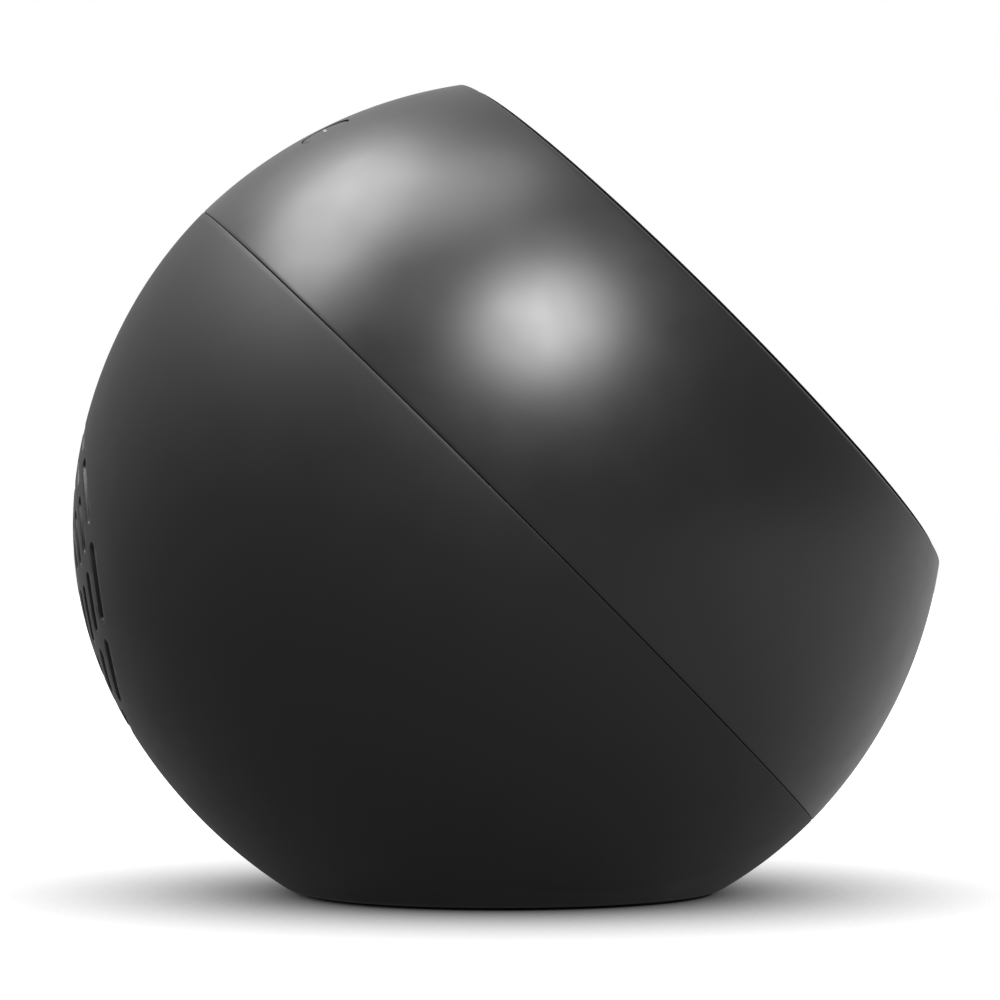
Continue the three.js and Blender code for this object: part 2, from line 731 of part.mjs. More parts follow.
// Cloth behind the slots: a thin cap of a ball.
function clothOutline() {
  const edge = Math.asin((driverRadius - 0.1) / clothInner);
  const steps = 3;
  const arc = (radius) => Array.from({ length: steps + 1 }, (_, i) => {
    const angle = (edge * i) / steps;
    return [radius * Math.sin(angle), radius * Math.cos(angle)];
  });
  return [...arc(clothInner), ...arc(clothOuter).reverse()];
}

piece(driver, 'grille_cloth', turned(clothOutline()), clothBlack);
piece(driver, 'driver_gasket', ring(
  driverRadius - gasketWidth, driverRadius, gasketTop - gasketThickness, gasketTop,
), foamGrey);

const basketBack = flangeTop - basketDepth;
const basketFlangeInner = driverRadius - flangeWidth;
const rollRoom = 1.8; // straight wall round the surround
function basket() {
  const outline = [
    [basketNeckRadius, basketBack],
    [basketBackRadius + basketWall, basketBack],
    [basketFlangeInner + basketWall, flangeBottom - rollRoom],
    [basketFlangeInner + basketWall, flangeBottom],
    [driverRadius, flangeBottom],
    [driverRadius, flangeTop],
    [basketFlangeInner, flangeTop],
    [basketFlangeInner, flangeBottom - rollRoom],
    [basketBackRadius, basketBack + basketWall + 1],
    [basketBackRadius, basketBack + basketWall],
    [basketNeckRadius, basketBack + basketWall],
  ];
  const windowLow = basketBack + basketWall + 2.4;
  const windowHigh = flangeBottom - 1.6;
  const windows = [0, Math.PI / 2].map((turn) =>
    slab(3 * driverRadius, basketWindow, windowLow, windowHigh).rotateZ(turn));
  return solid(turned(outline)).subtract(joined(windows));
}
piece(driver, 'driver_basket', surfaceOf(basket()), darkPlastic);

const topPlateTop = basketBack - fitGap;
const topPlateBottom = topPlateTop - topPlateThickness;
const magnetTop = topPlateBottom - fitGap;
const yokeTop = magnetTop - magnetThickness - fitGap;
const coilInner = poleRadius + airGap;
const coilOuter = coilInner + coilWall;
piece(driver, 'driver_top_plate', ring(
  coilOuter + airGap, topPlateRadius, topPlateBottom, topPlateTop,
), zincSteel);
piece(driver, 'driver_magnet', ring(
  magnetBore, magnetRadius, magnetTop - magnetThickness, magnetTop,
), ferriteGrey);
piece(driver, 'driver_yoke', turned([
  [0, yokeTop - yokeThickness],
  [topPlateRadius, yokeTop - yokeThickness],
  [topPlateRadius, yokeTop],
  [poleRadius, yokeTop],
  [poleRadius, topPlateTop],
  [0, topPlateTop],
]), zincSteel);

const coneEdgeRadius = basketFlangeInner - surroundWidth - 2 * fitGap;
const coneEdgeTop = flangeTop - 1.4;
const coneEdgeLow = coneEdgeTop - conePaper;
const coneNeckLow = coneEdgeLow - coneDepth;
const coneNeckRadius = coilOuter + 0.3;
piece(driver, 'voice_coil', ring(
  coilInner, coilOuter, yokeTop + coneTravel + freeGap, coneNeckLow - fitGap, 24,
), copperRed);
piece(driver, 'driver_cone', turned([
  [coilInner, coneNeckLow],
  [coneNeckRadius, coneNeckLow],
  [coneEdgeRadius - 1, coneEdgeLow],
  [coneEdgeRadius, coneEdgeLow],
  [coneEdgeRadius, coneEdgeTop],
  [coneEdgeRadius - 1.2, coneEdgeTop],
  [coilInner, coneNeckLow + conePaper],
]), paperBlack);

const coneSlope = (coneEdgeTop - coneNeckLow - conePaper) / (coneEdgeRadius - 1.2 - coilInner);
const domeRadius = coilInner + 1.5;
const domeLow = coneNeckLow + conePaper + coneSlope * (domeRadius - coilInner) + fitGap;
const domeArc = (scale, drop) => [0, 0.35, 0.7, 1].map((share) => {
  const r = scale * share;
  return [r, domeLow + domeRise * (1 - share ** 2) - drop];
});
piece(driver, 'dust_cap', turned([
  ...domeArc(domeRadius - 0.4, 0),
  ...domeArc(domeRadius, -0.5).reverse(),
], 24), paperBlack);

// Half-round rubber roll between the cone's edge and the basket.
function rollOutline() {
  const inner = coneEdgeRadius + fitGap;
  const outer = basketFlangeInner - fitGap;
  const [middle, reach] = [(inner + outer) / 2, (outer - inner) / 2];
  const steps = 4;
  const arc = (radius) => Array.from({ length: steps + 1 }, (_, i) => {
    const angle = Math.PI * (1 - i / steps);
    return [middle + radius * Math.cos(angle), coneEdgeLow + radius * Math.sin(angle)];
  });
  return [...arc(reach), ...arc(reach - 0.5).reverse()];
}
piece(driver, 'surround', turned(rollOutline()), rubberBlack);

// Corrugated cloth disc that centres the voice coil.
function spiderOutline() {
  const inner = coilOuter + fitGap;
  const outer = basketBackRadius - fitGap;
  const low = basketBack + basketWall + fitGap;
  const steps = 6;
  const line = (lift) => Array.from({ length: steps + 1 }, (_, i) => [
    inner + ((outer - inner) * i) / steps,
    low + 0.5 * (i % 2) + lift,
  ]);
  return [...line(0), ...line(0.35).reverse()];
}
piece(driver, 'spider', turned(spiderOutline(), 16), clothBlack);

// Cup behind the driver, with three ears for its screws.
function enclosure() {
  const back = enclosureRim - enclosureDepth;
  const cup = turned([
    [0, back],
    [enclosureRadius, back],
    [enclosureRadius, enclosureRim],
    [enclosureRadius - enclosureWall, enclosureRim],
    [enclosureRadius - enclosureWall, back + enclosureWall],
    [0, back + enclosureWall],
  ], 32);
  const ears = earPlaces.map(([x, y]) =>
    ring(0, earRadius, earTop - earThickness, earTop, smallSides).translate(x, y, 0));
  const earBores = earPlaces.map(([x, y]) =>
    ring(0, screwBore, earTop - earThickness - 1, earTop + 1, smallSides).translate(x, y, 0));
  const inside = ring(0, enclosureRadius - enclosureWall, back + enclosureWall, enclosureRim + 1, 32);
  const leadHole = ring(0, leadRadius + 2 * fitGap, back - 1, back + enclosureWall + 1, 8)
    .translate(leadX, 0, 0);
  return solid(cup).add(joined(ears)).subtract(joined([...earBores, inside, leadHole]));
}
piece(driver, 'driver_enclosure', surfaceOf(enclosure()), darkPlastic);

earPlaces.forEach(([x, y], i) => {
  const mesh = piece(driver, `enclosure_screw_${i + 1}`, screw(earScrewLength), zincSteel);
  mesh.position.set(x, y, earTop - earThickness - fitGap - screwHeadHeight);
});

// ---------------------------------------------------------------- base, foot and sockets

function basePlate() {
  const screwHoles = baseScrewPlaces.flatMap(([x, y]) => [
    ring(0, screwBore, plateBottom - 1, plateTop + 1, smallSides).translate(x, y, 0),
    ring(0, screwHeadRadius + fitGap, plateBottom - 1,
      baseScrewSink + screwHeadHeight + fitGap, smallSides).translate(x, y, 0),
  ]);
  return solid(ring(0, footRadius, plateBottom, plateTop, baseSides)).subtract(joined(screwHoles));
}
piece(speaker, 'base_plate', surfaceOf(basePlate()), darkPlastic);

baseScrewPlaces.forEach(([x, y], i) => {
  const mesh = piece(speaker, `base_screw_${i + 1}`, screw(baseScrewLength), zincSteel);
  mesh.position.set(x, y, baseScrewSink);
});

piece(speaker, 'rubber_foot', turned([
  [0, 0],
  [footRadius - footTaper, 0],
  [footRadius, footProud],
  [footRadius, footThickness],
  [0, footThickness],
], baseSides), rubberBlack);

const { left, right, front, back } = socketBoardSpan;
const socketBoardHole = ring(0, screwBore, socketBoardBottom - 1, socketBoardTop + 1, smallSides)
  .translate(...socketScrewPlace, 0);
const socketBoard = slab(
  right - left, back - front, socketBoardBottom, socketBoardTop, (left + right) / 2, (front + back) / 2,
);
piece(speaker, 'socket_board', surfaceOf(
  solid(socketBoard).subtract(solid(socketBoardHole)),
), boardGreen);

const socketScrew = piece(speaker, 'socket_screw', screw(socketBoardThickness + 1.9), zincSteel);
socketScrew.rotation.x = Math.PI;
socketScrew.position.set(...socketScrewPlace, socketBoardTop + fitGap + screwHeadHeight);

function socket(side, low, bodyEnd, bodyDepth, noseRadius, noseEnd, x) {
  const body = slab(side, bodyDepth, low, low + side, x, bodyEnd - bodyDepth / 2);
  return joined([body, socketBar(noseRadius, bodyEnd - 1, noseEnd, x)]);
}
const socketLow = socketBoardTop + fitGap;
const powerSocket = socket(
  powerSocketSide, socketLow, powerBodyEnd, 13, powerNoseRadius, powerNoseEnd, 0,
).subtract(solid(socketBar(powerBoreRadius, powerNoseEnd - powerBoreDepth, powerNoseEnd + 1, 0)))
  .add(solid(socketBar(powerPinRadius, powerNoseEnd - powerBoreDepth - 1, powerNoseEnd - 1, 0, 8)));
piece(speaker, 'power_socket', surfaceOf(powerSocket), darkPlastic);

const audioSocket = socket(
  audioSocketSide, socketAxis - audioSocketSide / 2, audioBodyEnd, 11,
  audioNoseRadius, audioNoseEnd, audioOffset,
).subtract(solid(socketBar(audioBoreRadius, audioNoseEnd - 10, audioNoseEnd + 1, audioOffset)));
piece(speaker, 'audio_socket', surfaceOf(audioSocket), darkPlastic);

// ---------------------------------------------------------------- leads inside the body

// Points given in the display frame, as [x, y, z].
function lead(name, points) {
  const path = points.map(([x, y, z]) => new THREE.Vector3(x, y, z));
  piece(display, name, alongPath(circleSection(leadRadius), path, 12), rubberBlack);
}

function inDisplay(matrix, x, y, z) {
  return new THREE.Vector3(x, y, z).applyMatrix4(matrix).toArray();
}

const enclosureBack = enclosureRim - enclosureDepth;
lead('speaker_lead', [
  inDisplay(driverToDisplay, leadX, 0, enclosureBack + 1),
  inDisplay(driverToDisplay, leadX, 0, enclosureBack - 5),
  [leadX, 0, 0],
  [leadX, -3, boardBottom - 4],
  [leadX, -3, boardBottom - fitGap],
]);
lead('power_lead', [
  inDisplay(intoDisplay, -5, 14, socketBoardTop + fitGap),
  inDisplay(intoDisplay, -5, 14, socketBoardTop + 3),
  inDisplay(intoDisplay, -12, 6, socketBoardTop + 10),
  [-14, -14, boardBottom - 14],
  [-14, -16, boardBottom - 4],
  [-14, -16, boardBottom - fitGap],
]);

export default speaker;
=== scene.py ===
"""A compact smart speaker: a ball-shaped body whose round display faces up and forward at 45 degrees.

Metres, +Z up, the display faces -Y, and the origin is the centre of the foot's underside. Each section
makes one piece, or one group of like pieces, in the order in which the speaker is put together.
"""

import math

import bmesh
import bpy
import numpy as np
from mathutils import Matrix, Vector


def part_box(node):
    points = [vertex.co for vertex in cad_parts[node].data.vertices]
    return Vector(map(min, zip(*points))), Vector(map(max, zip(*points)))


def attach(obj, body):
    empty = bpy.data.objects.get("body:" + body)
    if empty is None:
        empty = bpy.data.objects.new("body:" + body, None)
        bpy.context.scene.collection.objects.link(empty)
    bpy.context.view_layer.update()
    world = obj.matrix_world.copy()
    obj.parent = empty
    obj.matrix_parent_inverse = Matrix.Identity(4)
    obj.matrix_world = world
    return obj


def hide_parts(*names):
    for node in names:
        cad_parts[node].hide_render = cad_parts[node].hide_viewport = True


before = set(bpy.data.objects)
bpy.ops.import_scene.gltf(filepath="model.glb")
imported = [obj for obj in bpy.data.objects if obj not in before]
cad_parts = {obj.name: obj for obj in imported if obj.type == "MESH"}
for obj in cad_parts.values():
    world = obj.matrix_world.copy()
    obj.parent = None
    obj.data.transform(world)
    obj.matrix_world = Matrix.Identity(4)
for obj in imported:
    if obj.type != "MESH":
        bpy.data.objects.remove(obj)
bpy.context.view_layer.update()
mm = 0.001
scene = bpy.context.scene


# ---------------------------------------------------------------- view
# A product shot from the speaker's left side, level with the middle of its body, through a long lens that
# keeps the ball round. The camera stands a little behind the middle and looks back towards the display.

camera_distance = 509 * mm
camera_height = 44.94 * mm
camera_behind = 14.72 * mm
camera_turn = math.radians(1.56)
camera_rise = math.radians(0.24)

lens = bpy.data.cameras.new("side_view")
lens.lens = 152.3
lens.sensor_width = 36
lens.clip_start = 10 * mm
camera = bpy.data.objects.new("side_view", lens)
camera.location = (-camera_distance, camera_behind, camera_height)
camera.rotation_euler = (math.pi / 2 + camera_rise, 0, -math.pi / 2 - camera_turn)
scene.collection.objects.link(camera)
scene.camera = camera
scene.view_settings.view_transform = "Standard"


# ---------------------------------------------------------------- studio
# White paper on a table, before a white backdrop, in a dim grey room. The lamps don't light the paper: it
# glows bright white, with a painted shadow, from ambient occlusion, that darkens it only where the ball is
# over it. The backdrop lights the edges of the ball, and the paper's glow its underside, painted brighter in
# front of the display than behind it. Soft boxes give the highlights.


def hex_colour(code):
    """A "#rrggbb" sRGB colour as the linear values that shaders work in."""
    shares = np.array([int(code[i : i + 2], 16) for i in (1, 3, 5)]) / 255
    linear = np.where(shares <= 0.04045, shares / 12.92, ((shares + 0.055) / 1.055) ** 2.4)
    return (*linear, 1.0)


def add(tree, kind, choices=None, values=None, links=None):
    """Adds a node: choices are its own settings, values fill its sockets, links feed them from others."""
    made = tree.nodes.new(kind)
    for name, choice in (choices or {}).items():
        setattr(made, name, choice)
    for socket, value in (values or {}).items():
        made.inputs[socket].default_value = value
    for socket, source in (links or {}).items():
        tree.links.new(source, made.inputs[socket])
    return made


def combined(tree, operation, first, second):
    """One arithmetic operation on two sockets."""
    made = add(tree, "ShaderNodeMath", {"operation": operation}, links={0: first, 1: second})
    return made.outputs[0]


def ranged(tree, source, low, high, start=0.0, end=1.0, kind="LINEAR"):
    """A value that goes from low to high while its source goes from start to end."""
    values = {"From Min": start, "From Max": end, "To Min": low, "To Max": high}
    made = add(tree, "ShaderNodeMapRange", {"interpolation_type": kind}, values, {"Value": source})
    return made.outputs[0]


# The paper's glow as the camera sees it, with the power by which its painted shadow deepens under the ball.
# Then the power of that painted shadow and the levels of the glow it sends back to the ball, painted from
# front to back over a reach to either side.
paper_glow = 1.6
shadow_depth = 1.38
bounce_depth = 0.7
front_bounce = 0.74
back_bounce = 0.3
bounce_reach = 0.16
# The room is dim on the camera's side and brightens towards the backdrop.
room_glow = 0.1
backdrop_glow = 0.6
backdrop_start = -0.3

white = (1, 1, 1, 1)

world = bpy.data.worlds.new("studio")
world.use_nodes = True
scene.world = world
room = world.node_tree
room.nodes.clear()
seen = add(room, "ShaderNodeLightPath").outputs["Is Camera Ray"]
towards = add(room, "ShaderNodeTexCoord").outputs["Generated"]
axes = add(room, "ShaderNodeSeparateXYZ", links={0: towards})
level = ranged(room, axes.outputs["X"], room_glow, backdrop_glow, backdrop_start, 1.0, "SMOOTHSTEP")
dim = add(room, "ShaderNodeBackground", values={"Color": white}, links={"Strength": level})
bright = add(room, "ShaderNodeBackground", values={"Color": white, "Strength": 1.0})
backdrop = add(room, "ShaderNodeMixShader", links={0: seen, 1: dim.outputs[0], 2: bright.outputs[0]})
add(room, "ShaderNodeOutputWorld", links={"Surface": backdrop.outputs[0]})

paper = bpy.data.materials.new("white_paper_with_painted_shadow")
paper.use_nodes = True
tree = paper.node_tree
tree.nodes.clear()
seen = add(tree, "ShaderNodeLightPath").outputs["Is Camera Ray"]
# Painted shadow: the paper's glow is multiplied by ambient occlusion, so it darkens where the ball is over
# it.
openness = add(tree, "ShaderNodeAmbientOcclusion", {"samples": 16}, {"Distance": 1.0}).outputs["AO"]
depth = ranged(tree, seen, bounce_depth, shadow_depth)
shade = combined(tree, "POWER", openness, depth)
place = add(tree, "ShaderNodeTexCoord").outputs["Object"]
axes = add(tree, "ShaderNodeSeparateXYZ", links={0: place})
# Painted bounce: the glow the ball gets from the paper is brighter in front of the display than behind.
aside = combined(tree, "SUBTRACT", axes.outputs["Y"], axes.outputs["X"])
painted_bounce = ranged(tree, aside, front_bounce, back_bounce, -bounce_reach, bounce_reach, "SMOOTHSTEP")
level = add(tree, "ShaderNodeMapRange", values={"To Max": paper_glow},
            links={"Value": seen, "To Min": painted_bounce})
glow = combined(tree, "MULTIPLY", shade, level.outputs[0])
lit = add(tree, "ShaderNodeEmission", values={"Color": white}, links={"Strength": glow})
add(tree, "ShaderNodeOutputMaterial", links={"Surface": lit.outputs[0]})

paper_reach = 2.0
floor_mesh = bpy.data.meshes.new("paper_sweep")
corners = [(sx * paper_reach, sy * paper_reach, 0) for sx, sy in [(-1, -1), (1, -1), (1, 1), (-1, 1)]]
floor_mesh.from_pydata(corners, [], [(0, 1, 2, 3)])
floor_mesh.materials.append(paper)
paper_sweep = bpy.data.objects.new("paper_sweep", floor_mesh)
scene.collection.objects.link(paper_sweep)

glass_low, glass_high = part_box("cover_glass")
ball_height = (glass_low.z + glass_high.z) / 2 + (glass_low.y + glass_high.y) / 2
light_distance = 1.0


def soft_box(name, direction, width, height, strength):
    """A lamp that faces the middle of the ball from a direction, with one radiance over its face."""
    lamp = bpy.data.lights.new(name, "AREA")
    lamp.shape = "ELLIPSE"
    lamp.size = width
    lamp.size_y = height
    lamp.energy = strength * math.pi * math.pi / 4 * width * height
    made = bpy.data.objects.new(name, lamp)
    out = Vector(direction).normalized()
    made.location = out * light_distance + Vector((0, 0, ball_height))
    made.rotation_mode = "QUATERNION"
    made.rotation_quaternion = out.to_track_quat("Z", "Y")
    made.visible_camera = False
    scene.collection.objects.link(made)


soft_box("key_light", (-0.63, -0.105, 0.73), 0.46, 0.46, 26)
soft_box("back_box", (0.22, 0.47, 0.85), 0.72, 0.42, 9)
soft_box("back_left_box", (-0.08, 0.63, 0.77), 0.40, 0.40, 5)
soft_box("back_right_box", (0.61, 0.36, 0.71), 0.36, 0.36, 1.1)
soft_box("overhead_box", (0.04, 0.18, 0.98), 0.50, 0.50, 5)


# ---------------------------------------------------------------- front shell
# One satin black ABS moulding between the seam and the display: outer band, thin rounded rim round the
# glass, step that the glass is glued to, and a tongue with a snap bead that laps inside the rear shell.

display_tilt = math.radians(45)
body_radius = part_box("rear_shell")[1].x
glass_radius = glass_high.x
wall = 2.2 * mm
seam_gap = 0.05 * mm
fit_gap = 0.3 * mm
rim_lip = 0.89 * mm
rim_fillet = 0.78 * mm
edge_round = 0.1 * mm
seam_round = 0.16 * mm
rear_bulge = 0.0097
rear_bulge_skew = 0.01057
rim_rise = 0.0105
front_sag = 0.01867
tongue_height = 2.8 * mm
tongue_wall = 1.2 * mm
tongue_top = 2.2 * mm
bead_height = 0.45 * mm
ledge_width = 2.7 * mm
ledge_thickness = 2 * mm
glass_thickness = 2 * mm
glass_proud = 0.36 * mm
adhesive_thickness = 0.4 * mm
fine_sides = 288
smooth_below = 35

quarter = math.pi / 2
rim_radius = glass_radius + fit_gap + rim_lip
rim_depth = math.sqrt((body_radius * (1 + rim_rise)) ** 2 - rim_radius**2)
rim_angle = quarter + math.atan2(rim_depth, rim_radius)


def skin_reach(angle):
    """Distance of the skin from the middle of the ball, at an angle from the rear pole of the display axis.

    The rear half is the ball plus a bulge that is nothing at the pole and the seam. The front band runs
    from the seam out to the rim with a shallow sag between them.
    """
    angle = np.asarray(angle, float)
    bulge = rear_bulge + rear_bulge_skew * np.cos(2 * angle)
    rear = 1 + np.sin(2 * angle) ** 2 * bulge
    share = (angle - quarter) / (rim_angle - quarter)
    front = 1 + rim_rise * share - front_sag * share * (1 - share)
    return body_radius * np.where(angle <= quarter, rear, front)


def skin_angle_at(height, inset=0.0):
    """The angle from the rear pole at which the skin, less an inset, is at a height along the display
    axis."""
    angles = np.linspace(0.0, rim_angle, 4000)
    return np.interp(height, -(skin_reach(angles) - inset) * np.cos(angles), angles)


def skin_arc(start, end, steps, inset=0.0):
    """[radius, height] points of the skin, less an inset, between two angles, about the display axis."""
    angles = np.linspace(start, end, steps)
    reach = skin_reach(angles) - inset
    return np.stack([reach * np.sin(angles), -reach * np.cos(angles)], axis=1)


def arc(centre, radius, start, end, steps=6):
    """[radius, height] points of a round edge, between two angles in degrees, first point at the
    start."""
    turns = np.radians(np.linspace(start, end, steps))
    return np.array(centre) + radius * np.stack([np.cos(turns), np.sin(turns)], axis=1)


def full_turn(sides):
    """Angles of an even number of sides, once round."""
    return np.arange(sides) * 2 * np.pi / sides


def ring_points(radius, height, turns):
    """Points [x, y, z] of a level row, at a radius about Z, a height, and each of some angles."""
    return np.stack([radius * np.cos(turns), radius * np.sin(turns), height + 0 * turns], axis=-1)


def lathed(outline, sides=fine_sides):
    """Points [row, column] of an outline of [radius, height] turned about Z, one row for each point of
    it."""
    outline = np.asarray(outline, float)
    return ring_points(outline[:, :1], outline[:, 1:], full_turn(sides))


def spun(x, y, angle):
    """Two coordinates turned in their plane by an angle."""
    c, s = math.cos(angle), math.sin(angle)
    return x * c - y * s, x * s + y * c


def tipped(points, angle, lift=0.0):
    """Points turned about the X axis by an angle, then raised."""
    x, y, z = np.moveaxis(np.asarray(points, float), -1, 0)
    y, z = spun(y, z, angle)
    return np.stack([x, y, z + lift], axis=-1)


def on_display(points):
    """From the display frame, whose Z is the display axis and whose origin is the middle of the ball."""
    return tipped(points, display_tilt, ball_height)


def skinned(name, points, loop=False, smooth=smooth_below):
    """One closed mesh from points [row, column]. Columns join round. Rows join round too where loop is
    set, and otherwise the first and last rows are closed with a face each, or run to a pole."""
    rows, columns, _ = points.shape
    index = np.arange(rows * columns).reshape(rows, columns)
    low = index if loop else index[:-1]
    high = np.roll(index, -1, axis=0) if loop else index[1:]
    quads = np.stack([low, np.roll(low, -1, 1), np.roll(high, -1, 1), high], axis=-1).reshape(-1, 4)
    faces = quads.tolist()
    if not loop:
        faces += [index[0, ::-1].tolist(), index[-1].tolist()]
    mesh = bpy.data.meshes.new(name)
    mesh.from_pydata(points.reshape(-1, 3).tolist(), [], faces)
    return shaded(name, mesh, smooth)


def shaded(name, mesh, smooth):
    """Merges doubles at a mesh's poles, turns its faces out, smooths it below an angle, links its
    object."""
    work = bmesh.new()
    work.from_mesh(mesh)
    bmesh.ops.remove_doubles(work, verts=work.verts, dist=1e-7)
    bmesh.ops.dissolve_degenerate(work, edges=work.edges, dist=1e-8)
    bmesh.ops.recalc_face_normals(work, faces=work.faces)
    work.to_mesh(mesh)
    work.free()
    mesh.polygons.foreach_set("use_smooth", np.ones(len(mesh.polygons), bool))
    mesh.set_sharp_from_angle(angle=math.radians(smooth))
    made = bpy.data.objects.new(name, mesh)
    scene.collection.objects.link(made)
    return made


def carved(piece, cutter, operation="DIFFERENCE"):
    """Cuts one closed piece with another, or joins them, and leaves one finished mesh."""
    change = piece.modifiers.new("cut", "BOOLEAN")
    change.operation = operation
    change.solver = "MANIFOLD"
    change.object = cutter
    bpy.context.view_layer.update()
    result = bpy.data.meshes.new_from_object(piece.evaluated_get(bpy.context.evaluated_depsgraph_get()))
    piece.modifiers.clear()
    piece.data = result
    piece.data.materials.clear()
    bpy.data.objects.remove(cutter)
    piece.data.set_sharp_from_angle(angle=math.radians(smooth_below))
    return piece


def merged(name, pieces):
    """Several closed bodies as one object, such as the cutters of one pattern."""
    work = bmesh.new()
    for one in pieces:
        work.from_mesh(one.data)
        bpy.data.objects.remove(one)
    mesh = bpy.data.meshes.new(name)
    work.to_mesh(mesh)
    work.free()
    made = bpy.data.objects.new(name, mesh)
    scene.collection.objects.link(made)
    return made


glass_top = rim_depth + glass_proud
glass_bottom = glass_top - glass_thickness
ledge_top = glass_bottom - fit_gap - adhesive_thickness - fit_gap
ledge_bottom = ledge_top - ledge_thickness
recess_radius = glass_radius + fit_gap
ledge_inner = recess_radius - ledge_width
tongue_outer = body_radius - wall - fit_gap
tongue_inner = tongue_outer - tongue_wall
bead_low = -tongue_height + 0.5 * mm

# Where the skin, moved in by the fillet's radius, reaches the height of the fillet's centre.
slopes = np.linspace(rim_angle - 0.1, rim_angle, 400)
centres = skin_arc(slopes[0], slopes[-1], len(slopes), rim_fillet)
fillet_angle = np.interp(rim_depth - rim_fillet, centres[:, 1], slopes)
fillet_centre = skin_arc(fillet_angle, fillet_angle, 1, rim_fillet)[0]
seam_face = seam_gap / 2
seam_edge_angle = skin_angle_at(seam_face + seam_round)
front_outline = np.concatenate([
    arc((body_radius - seam_round, seam_face + seam_round), seam_round, -90, 0, 6),
    skin_arc(seam_edge_angle, fillet_angle, 90)[1:-1],
    arc(fillet_centre, rim_fillet, math.degrees(fillet_angle) - 90, 90, 9),
    arc((recess_radius + edge_round, rim_depth - edge_round), edge_round, 90, 180, 4),
    [(recess_radius, ledge_top), (ledge_inner, ledge_top), (ledge_inner, ledge_bottom)],
    skin_arc(skin_angle_at(ledge_bottom, wall), skin_angle_at(tongue_top + tongue_wall, wall), 24, wall),
    [(tongue_inner, tongue_top), (tongue_inner, -tongue_height)],
    [(tongue_outer - bead_height / 2, -tongue_height), (tongue_outer, bead_low - bead_height)],
    [(tongue_outer + bead_height, bead_low)],
    [(tongue_outer, bead_low + bead_height), (tongue_outer, seam_face)],
])
front_shell = skinned("front_shell_moulding", on_display(lathed(front_outline)), loop=True)

button_spacing = 11 * mm
button_radius = 3 * mm
button_gap = 0.1 * mm
mic_hole_radius = 0.5 * mm
mic_row_offset = 3 * mm
hole_round = 0.05 * mm
hole_depth = 8 * mm
cutter_rise = 3 * mm
button_lift = (rim_angle - quarter) / 2


def on_band(points):
    """From the button frame, whose Z points out of the middle of the front band's top."""
    return on_display(tipped(points, button_lift - quarter))


def hole_cutter(name, radius, x, y, sides):
    """A round cutter through the band, which opens out by a small round where it meets the skin."""
    skin = float(skin_reach(quarter + button_lift)) - (x**2 + y**2) / (2 * body_radius)
    outline = np.concatenate([
        [(radius, skin - hole_depth)],
        arc((radius + hole_round, skin - hole_round), hole_round, 180, 90, 4),
        [(radius + hole_round, skin + cutter_rise)],
    ])
    return skinned(name, on_band(lathed(outline, sides) + np.array([x, y, 0])))


button_x = [-button_spacing, 0.0, button_spacing]
cutters = [hole_cutter("button_hole", button_radius + button_gap, x, 0.0, 96) for x in button_x]
for side in (-1, 1):
    for row in (-1, 1):
        mic_x, mic_y = side * button_spacing / 2, row * mic_row_offset
        cutters.append(hole_cutter("mic_hole", mic_hole_radius, mic_x, mic_y, 24))
carved(front_shell, merged("band_holes", cutters))


def new_material(name):
    """A new material, its nodes, and the place on the piece, in metres, that its pattern follows."""
    material = bpy.data.materials.new(name)
    material.use_nodes = True
    tree = material.node_tree
    return material, tree, add(tree, "ShaderNodeTexCoord").outputs["Object"]


def noise(tree, where, size, detail, distortion=0.0):
    """Cloudy patches of about a size."""
    values = {"Scale": 1 / size, "Detail": detail, "Distortion": distortion}
    return add(tree, "ShaderNodeTexNoise", values=values, links={"Vector": where}).outputs["Fac"]


def ridges(tree, where, direction, pitch):
    """Even ridges across a direction, a pitch apart. The node's own wave turns 20 radians per metre."""
    values = {"Scale": 2 * math.pi / (20 * pitch)}
    made = add(tree, "ShaderNodeTexWave", {"bands_direction": direction}, values, {"Vector": where})
    return made.outputs["Fac"]


def two_tone(tree, share, first, second):
    """From one colour to the other while a share goes from 0 to 1."""
    made = add(tree, "ShaderNodeMix", {"data_type": "RGBA"}, {6: first, 7: second}, {0: share})
    return made.outputs[2]


def feed(tree, links, values=None, relief=None, strength=1.0, depth=1 * mm):
    """Feeds the surface of a material: sockets by name, fixed values, and a relief that bumps it."""
    surface = tree.nodes["Principled BSDF"]
    if relief:
        bump = add(tree, "ShaderNodeBump", values={"Strength": strength, "Distance": depth},
                   links={"Height": relief})
        links = {**links, "Normal": bump.outputs[0]}
    for socket, source in links.items():
        tree.links.new(source, surface.inputs[socket])
    for socket, value in (values or {}).items():
        surface.inputs[socket].default_value = value


def moulded(name, colour, roughness, grain, depth, mottle=0.12):
    """Injection-moulded plastic with a spark-eroded texture: fine even grain that takes the edge off
    reflections, a broad faint mottle in tone where the melt flowed, and slightly uneven gloss."""
    material, tree, where = new_material(name)
    flow = noise(tree, where, 18 * mm, 3)
    touch = noise(tree, where, 5 * mm, 5)
    spark = noise(tree, where, grain, 2)
    base = np.array(hex_colour(colour)[:3])
    tone = two_tone(tree, flow, (*(base * (1 - mottle)), 1), (*(base * (1 + mottle)), 1))
    gloss = ranged(tree, touch, roughness - 0.02, roughness + 0.02, 0.3, 0.7)
    feed(tree, {"Base Color": tone, "Roughness": gloss}, {"IOR": 1.5}, spark, 0.5, depth)
    return material


def dress(piece, material, slot, *nodes, body="housing"):
    """Gives a finished piece its material, its body and the CAD nodes it stands for. The slot is not used.
    """
    piece.data.materials.clear()
    piece.data.materials.append(material)
    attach(piece, body)
    if nodes:
        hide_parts(*nodes)
    return piece


# Satin ABS: the mould is blasted fine, so the highlights are soft-edged and bright.
satin_abs = moulded("satin_moulded_abs", "#1d1d1e", 0.35, 0.3 * mm, 0.002 * mm)
dress(front_shell, satin_abs, "satin_black_plastic", "front_shell")


# ---------------------------------------------------------------- rear shell
# One matt black PC-ABS moulding from the seam down to the table. The foot is let into its flat underside,
# the grille slots are cut through its back, and two socket holes lie under them.

